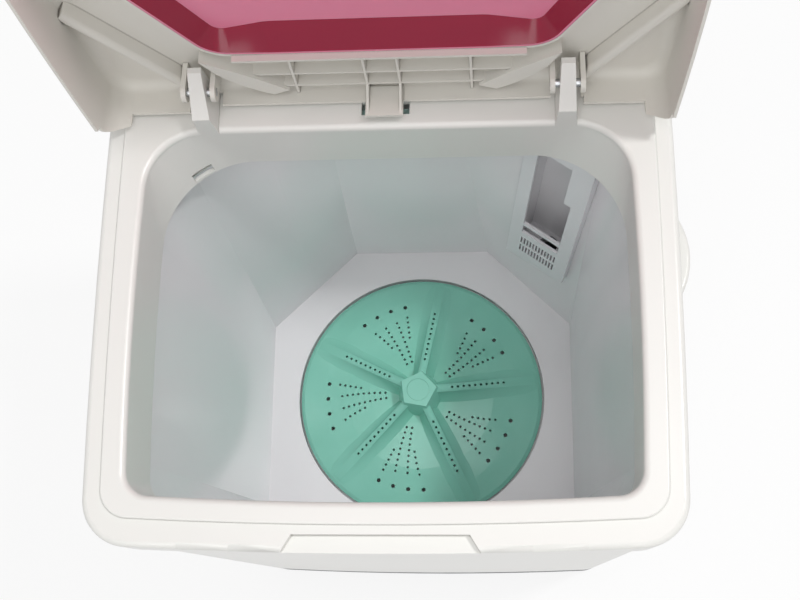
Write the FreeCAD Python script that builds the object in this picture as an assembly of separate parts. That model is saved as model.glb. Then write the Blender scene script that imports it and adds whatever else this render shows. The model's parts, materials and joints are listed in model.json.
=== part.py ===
import FreeCAD, Part
import math
import os

os.makedirs("parts", exist_ok=True)
Vec = FreeCAD.Vector
ACROSS = Vec(1, 0, 0)
BACKWARD = Vec(0, 1, 0)
UP = Vec(0, 0, 1)

# Body: width, depth and deck height of the whole machine
BODY_WIDTH = 472.0
BODY_DEPTH = 466.0
DECK_HEIGHT = 720.0
WALL = 3.0
SIDE_BOW = 4.0
FRONT_BOW = 6.0
OVERCUT = 2.0
TOUCH = 0.01

# Top frame: deck, loading opening, skirt, lid seat and hinge arms
DECK_PLATE = 3.5
BAND_DROP = 3.0
BAND_SIDE = 15.0
BAND_FRONT = 21.0
DECK_RIM_ROUND = 5.0
DECK_STEP_ROUND = 1.5
DECK_APRON = 48.0
SEAT_INSET = 14.0
DECK_CORNER_FRONT = 38.0
DECK_CORNER_BACK = 24.0
SIDE_MARGIN = 34.0
FRONT_MARGIN = 38.0
BACK_MARGIN = 123.0
OPENING_CORNER_FRONT = 20.0
OPENING_CORNER_BACK = 48.0
OPENING_ROUND = 5.0
SKIRT_DEPTH = 66.0
SKIRT_CORNER_BACK = 80.0
FINGER_WIDTH = 136.0
FINGER_FLARE = 10.0
FINGER_REACH = 14.0
FINGER_DEPTH = 7.0
LATCH_SLOT_WIDTH = 40.0
LATCH_SLOT_DEPTH = 12.0
LATCH_SLOT_BACK = 24.0
WIRE_HOLE_MARGIN = 18.0
WIRE_HOLE_DEPTH = 26.0
SPOUT_HOLE_WIDTH = 20.0
SPOUT_HOLE_HEIGHT = 10.0
SPOUT_HOLE_RISE = 3.0
SPOUT_TURN = 35.0

# Lid hinge: axis place, arms of the deck and pins
HINGE_SETBACK = 21.0
HINGE_RISE = 32.0
LID_OPEN = 97.0
ARM_OFFSET = 148.5
ARM_WIDTH = 17.0
ARM_TOP_WIDTH = 11.0
ARM_SHOULDER = 24.0
ARM_TOP_RISE = 20.0
ARM_HEEL = 12.0
ARM_CREST = 5.0
PIN_RADIUS = 3.5
PIN_PLAY = 0.06
LUG_GAP = 1.5
LUG_THICK = 4.0
LUG_RADIUS = 8.0

# Lid: frame, ribs and window
LID_INSET = 2.0
LID_WALL = 2.5
LID_RISE = 28.0
LID_HEEL = 27.0
LID_FALL = 2.6
LID_DEPTH = 90.0
LID_ROUND = 12.0
LID_CORNER_FRONT = 36.0
LID_CORNER_BACK = 22.0
LID_SEAT_GAP = 0.6
LID_HEEL_CLEAR = 2.0
LID_SKIRT_RISE = 4.0
LID_END_DROP = 2.5
LID_END_INNER = 163.0
LID_SHAFT_GAP = 4.0
TONGUE_WIDTH = 31.0
TONGUE_DROP = 16.0
RIB = 2.0
RIB_DEEP = 12.0
RIB_PITCH = 18.0
RIB_REACH = 108.0
RIB_CROSS = 72.0
RIB_SETBACK = 12.0
# Straps: points of the front and rear edge, as distance from the middle and from the hinge line
STRAP_FRONT = ((143.0, 31.0), (114.0, 13.0), (78.0, -15.0))
STRAP_REAR = ((134.0, 14.0), (115.0, -6.0), (92.0, -21.0))
STRAP_DROP = 3.0
FLANGE_HALF = 116.0
FLANGE_DROP = 6.0
BEAD_WIDTH = 9.0
BEAD_DROP = 3.0
BEAD_RISE = 98.0
WINDOW_SETBACK = 33.0
WINDOW_FRONT = 44.0
WINDOW_SIDE = 46.0
WINDOW_FLAT = 85.0
WINDOW_BACK_HALF = 134.0
WINDOW_BACK_BOW = 1.5
WINDOW_SLOPE = 100.0
WINDOW_CORNERS = (40.0, 30.0, 80.0, 60.0)
WINDOW_FLANGE = 8.0
WINDOW_SHEET = 2.0
WINDOW_DOME = 4.0
WINDOW_LIP = 10.0
# Bevel of the window: inset of the flat panel behind the lip, at its middle, back corners, sides and front
BEVEL_BACK = 22.0
BEVEL_CORNER = 12.0
BEVEL_CORNER_SIDE = 7.0
BEVEL_SIDE = 16.0
BEVEL_FRONT = 20.0
PANE_CORNERS = (40.0, 12.0, 60.0, 40.0)
DISC_RADIUS = 22.0
DISC_PROUD = 1.0
DISC_OFFSET = 126.0
DISC_SETBACK = 62.0

# Wash tub: mouth, floor and the pulsator well
TUB_SIDE_GAP = 11.0
TUB_FRONT_GAP = 8.0
TUB_BACK_REACH = 31.0
TUB_DEPTH = 430.0
TUB_FLANGE = 8.0
TUB_SEAT_DROP = 34.0
TUB_CORNER_BACK = 95.0
TUB_CORNER_FRONT = 48.0
TUB_SIDE_DRAFT = 40.0
TUB_BACK_DRAFT = 4.0
TUB_FRONT_DRAFT = 12.0
TUB_CHAMFER_X = 95.0
TUB_CHAMFER_Y = 90.0
TUB_FOOT_X = 63.0
TUB_FOOT_Y = 30.0
FACET_TOP_BACK = 127.0
FACET_TOP_FRONT = 98.0
FACET_LOW_BACK = 185.0
FACET_LOW_FRONT = 46.0
BACK_FACET_HALF = 60.0
WELL_DEPTH = 10.0

# Pulsator and its drive
PULSATOR_RADIUS = 139.5
PULSATOR_GAP = 2.5
PULSATOR_BACK = 157.0
PULSATOR_SHEET = 3.0
PULSATOR_LIFT = 3.0
DOME_RISE = 15.0
DOME_BULGE = 3.0
DOME_STEPS = (112.0, 84.0, 56.0)
RIM_EASE = 4.0
HUB_RISE = 48.0
HUB_RADIUS = 21.0
HUB_FLARE = 12.0
RIDGES = 5
RIDGE_TURN = 8.0
# Ridge sections: radius, half width at the foot, half width of the crest, height
RIDGE_SECTIONS = (
    (16.0, 11.0, 4.5, 28.0),
    (52.0, 17.0, 4.5, 16.0),
    (92.0, 21.0, 5.0, 7.5),
    (133.0, 25.0, 5.0, 1.2),
)
RIDGE_WAIST = 0.3
RIDGE_FLANK = 0.45
CREST_ROUND = 0.1
RIDGE_HOLES = 10
RIDGE_HOLE_FIRST = 38.0
RIDGE_HOLE_STEP = 6.5
SMALL_HOLE = 1.5
RIM_HOLE = 2.5
RIM_HOLE_CIRCLE = 107.0
RIM_HOLE_START = 20.0
RIM_HOLE_STEP = 9.4
RIM_HOLES = 4
# Fan rows between ridges: angle at the inner end, angle at the outer end, holes, radius of the first hole
FAN_ROWS = ((20.5, 19.7, 5, 69.0), (24.0, 28.0, 9, 40.0), (33.0, 37.0, 9, 39.0), (40.7, 45.7, 5, 65.0))
FAN_STEP = 6.3
HOLE_SIDES = 6
BLADES = 10
BLADE_THICK = 3.0
BLADE_INNER = 34.0
BLADE_OUTER = 126.0
BOSS_RADIUS = 14.0
SHAFT_RADIUS = 6.0
SCREW_SEAT_THICK = 10.0
SHAFT_PLAY = 0.05
SCREW_RADIUS = 3.0
SCREW_HEAD = 7.5
SCREW_HEAD_THICK = 4.0
SCREW_LENGTH = 16.0
CAP_RADIUS = 12.5
CAP_THICK = 3.0
BUSH_WALL = 4.0
BUSH_LENGTH = 18.0
HOUSING_WALL = 5.0
HOUSING_LENGTH = 66.0
HOUSING_FLANGE = 38.0
HOUSING_FOOT = 20.0
HOUSING_FLANGE_THICK = 5.0
GASKET = 2.0
NECK_RISE = 7.0
NUT_FLATS = 44.0
NUT_THICK = 6.0
SEAL_THICK = 7.0
BELT_DROP = 105.0
DRIVE_PITCH = 80.0
MOTOR_PITCH = 24.0
BELT_TOP = 9.5
BELT_FOOT = 6.0
BELT_DEEP = 6.0
BELT_PLAY = 0.25
PULLEY_FLANGE = 2.0
PULLEY_RIM = 6.0
PULLEY_WEB = 5.0
PULLEY_HUB = 16.0
PULLEY_HUB_LENGTH = 26.0
SPOKES = 5
SPOKE_WIDTH = 16.0
PULLEY_NUT = 9.0
PULLEY_NUT_THICK = 6.0

# Motor, its mounts and the start capacitor
MOTOR_SIDE = -85.0
MOTOR_SETBACK = 145.0
MOTOR_RADIUS = 62.0
STATOR_HEIGHT = 58.0
BELL_HEIGHT = 24.0
BELL_TOP_RADIUS = 40.0
MOTOR_NOSE = 16.0
MOTOR_NOSE_HEIGHT = 8.0
MOTOR_NOSE_GAP = 4.0
MOTOR_SHAFT_RADIUS = 5.0
MOTOR_EAR_CIRCLE = 76.0
MOTOR_EAR_RADIUS = 12.0
MOTOR_EAR_THICK = 5.0
MOTOR_EARS = 4
BUSH_RADIUS = 10.0
BUSH_HEIGHT = 10.0
BOLT_RADIUS = 3.0
BOLT_HEAD = 6.0
BOLT_HEAD_THICK = 4.0
CAPACITOR_RADIUS = 18.0
CAPACITOR_HEIGHT = 72.0
CAPACITOR_X = 112.0
CAPACITOR_Y = -70.0
CLAMP_WALL = 1.5
CLAMP_HEIGHT = 16.0
CLAMP_FOOT = 26.0

# Base and feet
BASE_RISE = 16.0
BASE_HEIGHT = 46.0
BASE_LIP = 12.0
BASE_FLOOR = 4.0
BASE_HOLE_WIDTH = 150.0
BASE_HOLE_FRONT = 60.0
BASE_HOLE_DEPTH = 120.0
FOOT_RADIUS = 20.0
FOOT_TAPER = 3.0
FOOT_STEM = 6.0
FOOT_STEM_LENGTH = 9.0
FOOT_INSET = 48.0
FIT = 0.3
POST_RADIUS = 14.0
BASE_RIB_HEIGHT = 22.0

# Cabinet and back cover
CABINET_INSET = 3.6
CABINET_FLANGE = 9.0
HATCH_WIDTH = 300.0
HATCH_LOW = 92.0
HATCH_HEIGHT = 330.0
COVER_LAP = 16.0
COVER_SHEET = 2.0
COVER_CORNER = 12.0
LOUVRES = 6
LOUVRE_WIDTH = 110.0
LOUVRE_HEIGHT = 4.0
LOUVRE_PITCH = 14.0
COVER_SCREW_HEAD = 5.0
COVER_SCREW_SHANK = 2.0
COVER_SCREW_THICK = 1.5
COVER_SCREW_LENGTH = 6.0
GRIP_LENGTH = 104.0
GRIP_HEIGHT = 38.0
GRIP_PROUD = 19.0
GRIP_DROP = 52.0
GRIP_Y = 12.0
GLAND_CLEAR = 12.0
GLAND_Z = 120.0
GLAND_RADIUS = 12.0
GLAND_BORE = 4.5
GLAND_REACH = 2.5

# Overflow channel, filter cover and drain
CHANNEL_WIDTH = 60.0
CHANNEL_DEPTH = 34.0
CHANNEL_LOW = 106.0
CHANNEL_TALL = 244.0
CHANNEL_TURN = 35.0
CHANNEL_LEAN = 7.5
CHANNEL_SIDE = 30.0
CHANNEL_BACK = 150.0
COVER_RIM = 6.0
COVER_PROUD = 9.0
COVER_FACE = 3.0
GRILLE_SLOTS = 12
GRILLE_PITCH = 3.7
GRILLE_SLOT = 2.0
GRILLE_TALL = 14.0
GRILLE_LOW = 12.0
GRILLE_GAP = 5.0
PORT_WIDTH = 44.0
PORT_LOW = 56.0
PORT_TALL = 176.0
PORT_STEP = 8.0
PORT_STEP_RISE = 110.0
PORT_BAR = 5.0
PORT_BAR_RISE = 16.0
DRAIN_BORE = 10.0
DRAIN_WALL = 2.5
DRAIN_SETBACK = 20.0
SPIGOT_LENGTH = 20.0
VALVE_BACK = 40.0
VALVE_RADIUS = 25.0
VALVE_DROP = 90.0
VALVE_HEIGHT = 74.0
VALVE_INLET_RISE = 30.0
VALVE_FLOOR = 4.0
PLUNGER_RADIUS = 18.0
PLUNGER_THICK = 12.0
PLUNGER_TAPER = 3.0
STEM_RADIUS = 3.0
STEM_PLAY = 0.3
SPRING_RADIUS = 9.0
SPRING_WIRE = 0.9
SPRING_TURNS = 6
SPRING_SIDES = 12
HOSE_WALL = 2.5
HOSE_BEND = 34.0
OUTLET_HEIGHT = 110.0
OUTLET_FLANGE = 24.0
HOSE_GRIP = 15.0
HOSE_PLAY = 0.1

# Console at the back: housing, panel and controls
CONSOLE_GAP = 41.0
CONSOLE_INSET = 18.0
CONSOLE_STEP = 18.0
CONSOLE_STEP_BACK = 22.0
CONSOLE_STEP_RISE = 26.0
CONSOLE_LEAN = 10.0
CONSOLE_TOP = 104.0
CONSOLE_HEIGHT = 110.0
CONSOLE_TOP_BACK = 2.0
CONSOLE_END_ROUND = 6.0
PANEL_MARGIN = 14.0
PANEL_TALL = 62.0
PANEL_SHEET = 1.6
KNOB_RADIUS = 23.0
KNOB_HEIGHT = 15.0
KNOB_SKIRT = 4.0
KNOB_GRIP = 9.0
KNOB_GAP = 0.6
SPINDLE_RADIUS = 3.0
SPINDLE_HOLE = 3.6
TIMER_X = -130.0
TIMER_WIDTH = 56.0
TIMER_TALL = 50.0
TIMER_DEEP = 17.0
SWITCH_X = 10.0
SWITCH_WIDTH = 38.0
SWITCH_TALL = 32.0
SWITCH_DEEP = 15.0
CONTROL_EAR = 8.0
CRANK_RADIUS = 10.0
CRANK_DISC = 14.0
CRANK_THICK = 4.0
CRANK_PIN = 2.5
CRANK_PIN_LENGTH = 10.0
CRANK_TURN = 90.0
YOKE_RIM = 4.0
YOKE_THICK = 4.0
YOKE_GAP = 1.0
YOKE_BACK = 3.0
ROD_RADIUS = 2.5
ROD_BEND = 15.0
ROD_JOG = 80.0
ROD_JOG_DROP = 50.0

# Water inlet
INLET_DROP = 19.0
NIPPLE_RADIUS = 8.0
NIPPLE_TAIL = 6.0
NIPPLE_BORE = 4.5
NIPPLE_HEIGHT = 16.0
NIPPLE_TAIL_LENGTH = 22.0
NIPPLE_COLLAR = 3.0
INLET_HOSE_WALL = 1.9
INLET_BEND = 22.0
STUB_LENGTH = 24.0
SPOUT_STANDOFF = 3.7
SPOUT_DEEP = 15.3
SPOUT_WIDTH = 22.0
SPOUT_HEIGHT = 17.0
SPOUT_WALL = 1.2
RISER_RADIUS = 4.0
RISER_BORE = 2.5
RISER_BACK = 21.0

# Levels and lines that several pieces share
FRONT_Y = -BODY_DEPTH / 2
BACK_Y = BODY_DEPTH / 2
BODY_HALF = BODY_WIDTH / 2
DECK_Z = DECK_HEIGHT
BAND_Z = DECK_Z - BAND_DROP
DECK_UNDER = BAND_Z - DECK_PLATE
OPENING_HALF = BODY_HALF - SIDE_MARGIN
OPENING_FRONT = FRONT_Y + FRONT_MARGIN
OPENING_BACK = BACK_Y - BACK_MARGIN
SKIRT_Z = DECK_Z - SKIRT_DEPTH
HINGE_Y = OPENING_BACK + HINGE_SETBACK
HINGE_Z = DECK_Z + HINGE_RISE
HINGE = Vec(0, HINGE_Y, HINGE_Z)
CONSOLE_FRONT = HINGE_Y + CONSOLE_GAP
CONSOLE_HALF = BODY_HALF - CONSOLE_INSET
PANEL_HALF = CONSOLE_HALF - PANEL_MARGIN
TUB_TOP = DECK_Z - TUB_SEAT_DROP
TUB_MOUTH_Z = SKIRT_Z
TUB_FLOOR = DECK_Z - TUB_DEPTH
TUB_HALF = OPENING_HALF + TUB_SIDE_GAP
TUB_FRONT = OPENING_FRONT - TUB_FRONT_GAP
TUB_BACK = OPENING_BACK + TUB_BACK_REACH
PULSATOR_Y = OPENING_FRONT + PULSATOR_BACK
AXIS = (0, PULSATOR_Y)
WELL_Z = TUB_FLOOR - WELL_DEPTH
WELL_UNDER = WELL_Z - WALL
BELT_Z = TUB_FLOOR - BELT_DROP
MOTOR = (MOTOR_SIDE, PULSATOR_Y + MOTOR_SETBACK)
BASE_FLOOR_TOP = BASE_RISE + BASE_FLOOR
BASE_TOP = BASE_RISE + BASE_HEIGHT
CABINET_HALF = BODY_HALF - CABINET_INSET
CABINET_FRONT = FRONT_Y + CABINET_INSET
CABINET_BACK = BACK_Y - CABINET_INSET
HOLE_FRONT = CABINET_FRONT + BASE_HOLE_FRONT
HOLE_BACK = HOLE_FRONT + BASE_HOLE_DEPTH
GLAND_X = -HATCH_WIDTH / 2 - COVER_LAP - GLAND_RADIUS - GLAND_CLEAR
BOW = (SIDE_BOW, FRONT_BOW)


def box(x, y, z):
    """Block between a pair of limits on each axis."""
    return Part.makeBox(x[1] - x[0], y[1] - y[0], z[1] - z[0], Vec(x[0], y[0], z[0]))


def rod(centre, z, radius):
    """Upright cylinder."""
    return Part.makeCylinder(radius, z[1] - z[0], Vec(centre[0], centre[1], z[0]))


def ring(centre, z, outer, inner):
    """Upright tube."""
    bore = rod(centre, (z[0] - OVERCUT, z[1] + OVERCUT), inner)
    return rod(centre, z, outer).cut(bore)


def cone(centre, z, low, high):
    """Upright cone between two radii."""
    return Part.makeCone(low, high, z[1] - z[0], Vec(centre[0], centre[1], z[0]))


def prism_x(outline, x):
    """Outline of (y, z) points drawn out across the machine."""
    points = [Vec(x[0], y, z) for y, z in outline]
    return Part.Face(Part.makePolygon(points + points[:1])).extrude(Vec(x[1] - x[0], 0, 0))


def prism_z(outline, z):
    """Outline of (x, y) points drawn upwards."""
    points = [Vec(x, y, z[0]) for x, y in outline]
    return Part.Face(Part.makePolygon(points + points[:1])).extrude(Vec(0, 0, z[1] - z[0]))


def hexagon(centre, z, flats):
    """Upright six-sided bar."""
    reach = flats / math.sqrt(3)
    turns = [math.radians(60 * k) for k in range(6)]
    outline = [(centre[0] + reach * math.cos(t), centre[1] + reach * math.sin(t)) for t in turns]
    return prism_z(outline, z)


def revolved(outline, centre):
    """Outline of (radius, z) points turned round an upright axis."""
    points = [Vec(centre[0] + r, centre[1], z) for r, z in outline]
    face = Part.Face(Part.makePolygon(points + points[:1]))
    return face.revolve(Vec(centre[0], centre[1], 0), UP, 360)


def arc(first, middle, last):
    return Part.Arc(first, middle, last).toShape()


def joined(first, *others):
    return first.multiFuse(list(others)).removeSplitter()


def mirrored(shape):
    return shape.mirror(Vec(0, 0, 0), ACROSS)


def both_sides(shape):
    return [shape, mirrored(shape)]


def level_edges(solid, z):
    """Edges that lie flat at one height."""
    return [e for e in solid.Edges if abs(e.BoundBox.ZMin - z) < TOUCH and abs(e.BoundBox.ZMax - z) < TOUCH]


def upright_edges(solid, keep):
    """Straight upright edges whose middle passes a test."""
    found = []
    for edge in solid.Edges:
        size = edge.BoundBox
        if size.XLength < TOUCH and size.YLength < TOUCH and keep(edge.CenterOfMass):
            found.append(edge)
    return found


def slab(half, front, back, z, corners, bow=BOW):
    """Upright block with bowed front and sides and rounded corners."""
    side, nose = bow
    middle = (front + back) / 2
    front_left = Vec(side - half, front + nose, z[0])
    front_right = Vec(half - side, front + nose, z[0])
    back_right = Vec(half - side, back, z[0])
    back_left = Vec(side - half, back, z[0])
    if side:
        right = arc(front_right, Vec(half, middle, z[0]), back_right)
        left = arc(back_left, Vec(-half, middle, z[0]), front_left)
        nose_edge = arc(front_left, Vec(0, front, z[0]), front_right)
    else:
        right = Part.makeLine(front_right, back_right)
        left = Part.makeLine(back_left, front_left)
        nose_edge = Part.makeLine(front_left, front_right)
    outline = Part.Wire([nose_edge, right, Part.makeLine(back_right, back_left), left])
    solid = Part.Face(outline).extrude(Vec(0, 0, z[1] - z[0]))
    solid = solid.makeFillet(corners[0], upright_edges(solid, lambda p: p.y < middle))
    return solid.makeFillet(corners[1], upright_edges(solid, lambda p: p.y > middle))


def bend_points(before, here, after, radius):
    """Start, middle and end of the arc that rounds a corner."""
    into = (here - before).normalize()
    out = (after - here).normalize()
    half_turn = into.getAngle(out) / 2
    cut = radius * math.tan(half_turn)
    middle = here + (out - into).normalize() * (radius / math.cos(half_turn) - radius)
    return here - into * cut, middle, here + out * cut


def rounded_wire(corners, z):
    """Closed outline of straight runs, with corners given as (x, y, radius)."""
    points = [Vec(x, y, z) for x, y, _ in corners]
    after = points[1:] + points[:1]
    bends = [bend_points(points[k - 1], points[k], after[k], corners[k][2]) for k in range(len(points))]
    edges = []
    for k, bend in enumerate(bends):
        edges.append(Part.makeLine(bends[k - 1][2], bend[0]))
        edges.append(arc(*bend))
    return Part.Wire(edges)


def bent_rod(points, radius, bend):
    """Round bar along straight runs joined by tangent arcs of one radius."""
    edges = []
    start = points[0]
    for here, after in zip(points[1:-1], points[2:]):
        enter, middle, leave = bend_points(start, here, after, bend)
        edges.append(Part.makeLine(start, enter))
        edges.append(arc(enter, middle, leave))
        start = leave
    edges.append(Part.makeLine(start, points[-1]))
    section = Part.Wire([Part.makeCircle(radius, points[0], points[1] - points[0])])
    return Part.Wire(edges).makePipeShell([section], True, False)


def save(name, *solids):
    shape = solids[0] if len(solids) == 1 else Part.makeCompound(list(solids))
    shape.exportStep("parts/" + name + ".step")


# Top frame: a deck plate with an apron outside, a skirt round the opening and two hinge arms

def opening_slab(grow, z):
    corners = (OPENING_CORNER_FRONT + grow, OPENING_CORNER_BACK + grow)
    return slab(OPENING_HALF + grow, OPENING_FRONT - grow, OPENING_BACK + grow, z, corners)


def body_slab(inset, z):
    corners = (DECK_CORNER_FRONT - inset, DECK_CORNER_BACK - inset)
    return slab(BODY_HALF - inset, FRONT_Y + inset, BACK_Y - inset, z, corners)


def hinge_arm(side):
    """Arm that rises from the back edge of the opening, narrows upwards and carries one lid pin."""
    middle = side * ARM_OFFSET
    top = HINGE_Z + ARM_TOP_RISE
    heel = HINGE_Y + ARM_HEEL
    outline = [
        (OPENING_BACK, DECK_UNDER), (OPENING_BACK, DECK_Z + ARM_SHOULDER), (heel - ARM_CREST, top),
        (heel, top), (heel, DECK_UNDER),
    ]
    arm = prism_x(outline, (middle - ARM_WIDTH / 2, middle + ARM_WIDTH / 2))
    front = [
        (middle - ARM_WIDTH / 2, DECK_UNDER), (middle - ARM_WIDTH / 2, DECK_Z),
        (middle - ARM_TOP_WIDTH / 2, top), (middle + ARM_TOP_WIDTH / 2, top),
        (middle + ARM_WIDTH / 2, DECK_Z), (middle + ARM_WIDTH / 2, DECK_UNDER),
    ]
    points = [Vec(x, OPENING_BACK, z) for x, z in front]
    taper = Part.Face(Part.makePolygon(points + points[:1])).extrude(BACKWARD * (HINGE_SETBACK + ARM_HEEL))
    bore = Part.makeCylinder(PIN_RADIUS + PIN_PLAY, ARM_WIDTH + OVERCUT * 2,
                             Vec(middle - ARM_WIDTH / 2 - OVERCUT, HINGE_Y, HINGE_Z), ACROSS)
    return arm.common(taper).cut(bore)


def spout_place(shape):
    """Carries a shape drawn about the origin to the back left corner of the skirt, facing inwards."""
    turn = math.radians(SPOUT_TURN)
    corner_x = -(OPENING_HALF - SIDE_BOW / 2 - SKIRT_CORNER_BACK) - SKIRT_CORNER_BACK * math.sin(turn)
    corner_y = OPENING_BACK - SKIRT_CORNER_BACK * (1 - math.cos(turn))
    moved = shape.copy()
    moved.Placement = FreeCAD.Placement(Vec(corner_x, corner_y, SKIRT_Z), FreeCAD.Rotation(UP, SPOUT_TURN))
    return moved


def skirt_slab(grow, z):
    """Block with the outline of the skirt's lower edge."""
    corners = (OPENING_CORNER_FRONT + grow, SKIRT_CORNER_BACK + grow)
    return slab(OPENING_HALF + grow, OPENING_FRONT - grow, OPENING_BACK + grow, z, corners)


def lower_wire(block):
    """Outline of a block's lower face."""
    return min(block.Faces, key=lambda face: face.CenterOfMass.z).OuterWire


def skirt_funnel(grow):
    """Form from the deck's underside to the skirt's lower edge, with back corners that widen downwards."""
    low = lower_wire(skirt_slab(grow, (SKIRT_Z, DECK_Z)))
    high = lower_wire(opening_slab(grow, (DECK_UNDER, DECK_Z)))
    return Part.makeLoft([low, high], True, True)


def skirt_wall():
    """Skirt that hangs from the deck round the opening, with the hole of the water spout."""
    above = opening_slab(0, (DECK_UNDER, DECK_Z))
    below = skirt_slab(0, (SKIRT_Z - OVERCUT, SKIRT_Z))
    room = joined(skirt_funnel(0), above, below)
    half = SPOUT_HOLE_WIDTH / 2
    hole = box((-half, half), (-WALL * 2, WALL * 3), (SPOUT_HOLE_RISE, SPOUT_HOLE_RISE + SPOUT_HOLE_HEIGHT))
    return skirt_funnel(WALL).cut(room).cut(spout_place(hole))


def top_frame():
    outer = body_slab(0, (DECK_Z - DECK_APRON, BAND_Z))
    outer = outer.makeFillet(DECK_RIM_ROUND, level_edges(outer, BAND_Z))
    step_corners = (DECK_CORNER_FRONT - BAND_SIDE, DECK_CORNER_BACK - BAND_SIDE)
    step = slab(BODY_HALF - BAND_SIDE, FRONT_Y + BAND_FRONT, BACK_Y - WALL, (DECK_UNDER, DECK_Z),
                step_corners)
    step = step.makeFillet(DECK_STEP_ROUND, level_edges(step, DECK_Z))
    cavity = body_slab(WALL, (DECK_Z - DECK_APRON - OVERCUT, DECK_UNDER))
    seat = body_slab(SEAT_INSET, (TUB_TOP + WALL, DECK_UNDER))
    seat = seat.cut(body_slab(SEAT_INSET + WALL, (TUB_TOP, DECK_Z)))
    seat = seat.cut(box((-BODY_HALF, BODY_HALF), (HINGE_Y, BACK_Y), (TUB_TOP, DECK_Z)))
    deck = joined(outer.cut(cavity), step, seat)
    deck = deck.cut(opening_slab(0, (DECK_UNDER - OVERCUT, DECK_Z + OVERCUT)))
    frame = joined(deck, skirt_wall())
    rim = [e for e in level_edges(frame, DECK_Z) if abs(e.CenterOfMass.x) < OPENING_HALF + TOUCH
           and OPENING_FRONT - TOUCH < e.CenterOfMass.y < OPENING_BACK + TOUCH]
    frame = frame.makeFillet(OPENING_ROUND, rim)
    frame = joined(frame, hinge_arm(1), hinge_arm(-1))
    finger_half = FINGER_WIDTH / 2
    mouth_half = finger_half + FINGER_FLARE
    finger_back = FRONT_Y + FINGER_REACH
    finger = prism_z([
        (-finger_half, finger_back), (finger_half, finger_back),
        (mouth_half, FRONT_Y - OVERCUT), (-mouth_half, FRONT_Y - OVERCUT),
    ], (BAND_Z - FINGER_DEPTH, DECK_Z + OVERCUT))
    pan = box((-mouth_half - WALL, mouth_half + WALL), (FRONT_Y + WALL, finger_back + WALL),
              (BAND_Z - FINGER_DEPTH - WALL, DECK_UNDER))
    slot_back = OPENING_BACK + LATCH_SLOT_BACK
    slot = box((-LATCH_SLOT_WIDTH / 2, LATCH_SLOT_WIDTH / 2), (slot_back - LATCH_SLOT_DEPTH, slot_back),
               (DECK_UNDER - OVERCUT, DECK_Z + OVERCUT))
    wire_half = CONSOLE_HALF - WIRE_HOLE_MARGIN
    wire_back = BACK_Y - WALL * 3
    wires = box((-wire_half, wire_half), (wire_back - WIRE_HOLE_DEPTH, wire_back),
                (DECK_UNDER - OVERCUT, DECK_Z + OVERCUT))
    return joined(frame, pan).cut(Part.makeCompound([finger, slot, wires]))


# Lid: drawn shut and lying flat, tilted so that it falls to the front, then swung open

LID_TOP = HINGE_Z + LID_RISE
LID_BACK = HINGE_Y + LID_HEEL
LID_FRONT = FRONT_Y + LID_INSET
LID_HALF = BODY_HALF - LID_INSET
WINDOW_BACK = HINGE_Y - WINDOW_SETBACK
WINDOW_HALF = LID_HALF - WINDOW_SIDE
LIP_Z = LID_TOP - LID_WALL - WINDOW_LIP
TONGUE_RIB = TONGUE_WIDTH / 2 - RIB


def tilted(shape):
    return shape.rotated(Vec(0, LID_BACK, LID_TOP), ACROSS, LID_FALL)


def swung_open(shape):
    return shape.rotated(HINGE, ACROSS, -LID_OPEN)


def lid_slab(inset, drop):
    z = (LID_TOP - LID_DEPTH, LID_TOP - drop)
    corners = (LID_CORNER_FRONT - inset, LID_CORNER_BACK - inset)
    solid = slab(LID_HALF - inset, LID_FRONT + inset, LID_BACK - inset, z, corners)
    return solid.makeFillet(LID_ROUND - inset, level_edges(solid, z[1]))


def mirrored_corners(half):
    """Corners of a whole outline from those of its right half, as (x, y, radius)."""
    return half + [(-x, y, radius) for x, y, radius in half[::-1]]


def window_wire(z):
    """Outline of the window opening: back edge, slanting back corners, sides and front."""
    half = [(WINDOW_FLAT, WINDOW_BACK), (WINDOW_BACK_HALF, WINDOW_BACK - WINDOW_BACK_BOW),
            (WINDOW_HALF, WINDOW_BACK - WINDOW_SLOPE), (WINDOW_HALF, LID_FRONT + WINDOW_FRONT)]
    half = [(*point, radius) for point, radius in zip(half, WINDOW_CORNERS)]
    return rounded_wire(mirrored_corners(half), z)


def pane_wire(z):
    """Outline of the window's flat panel inside its bevel."""
    half = [(WINDOW_FLAT, WINDOW_BACK - BEVEL_BACK),
            (WINDOW_BACK_HALF - BEVEL_CORNER_SIDE, WINDOW_BACK - BEVEL_CORNER),
            (WINDOW_HALF - BEVEL_SIDE, WINDOW_BACK - WINDOW_SLOPE),
            (WINDOW_HALF - BEVEL_SIDE, LID_FRONT + WINDOW_FRONT + BEVEL_FRONT)]
    half = [(*point, radius) for point, radius in zip(half, PANE_CORNERS)]
    return rounded_wire(mirrored_corners(half), z)


def window_slab(grow, z):
    wire = window_wire(z[0])
    outline = wire.makeOffset2D(grow) if grow else wire
    return Part.Face(outline).extrude(Vec(0, 0, z[1] - z[0]))


def lid_rib(first, last, z, thick=RIB):
    """Straight rib between two plan points."""
    run = Vec(last[0] - first[0], last[1] - first[1], 0)
    side = Vec(-run.y, run.x, 0).normalize() * (thick / 2)
    start = Vec(first[0], first[1], z[0])
    corners = [start + side, start + side + run, start - side + run, start - side]
    face = Part.Face(Part.makePolygon(corners + corners[:1]))
    return face.extrude(Vec(0, 0, z[1] - z[0]))


def lid_bead(first, last, z):
    """Rib with a round lower edge."""
    radius = BEAD_WIDTH / 2
    axis = z[0] + radius
    start = Vec(first[0], first[1], axis)
    run = Vec(last[0], last[1], axis) - start
    edge = Part.makeCylinder(radius, run.Length, start, run)
    return lid_rib(first, last, (axis, z[1]), BEAD_WIDTH).fuse(edge)


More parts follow.
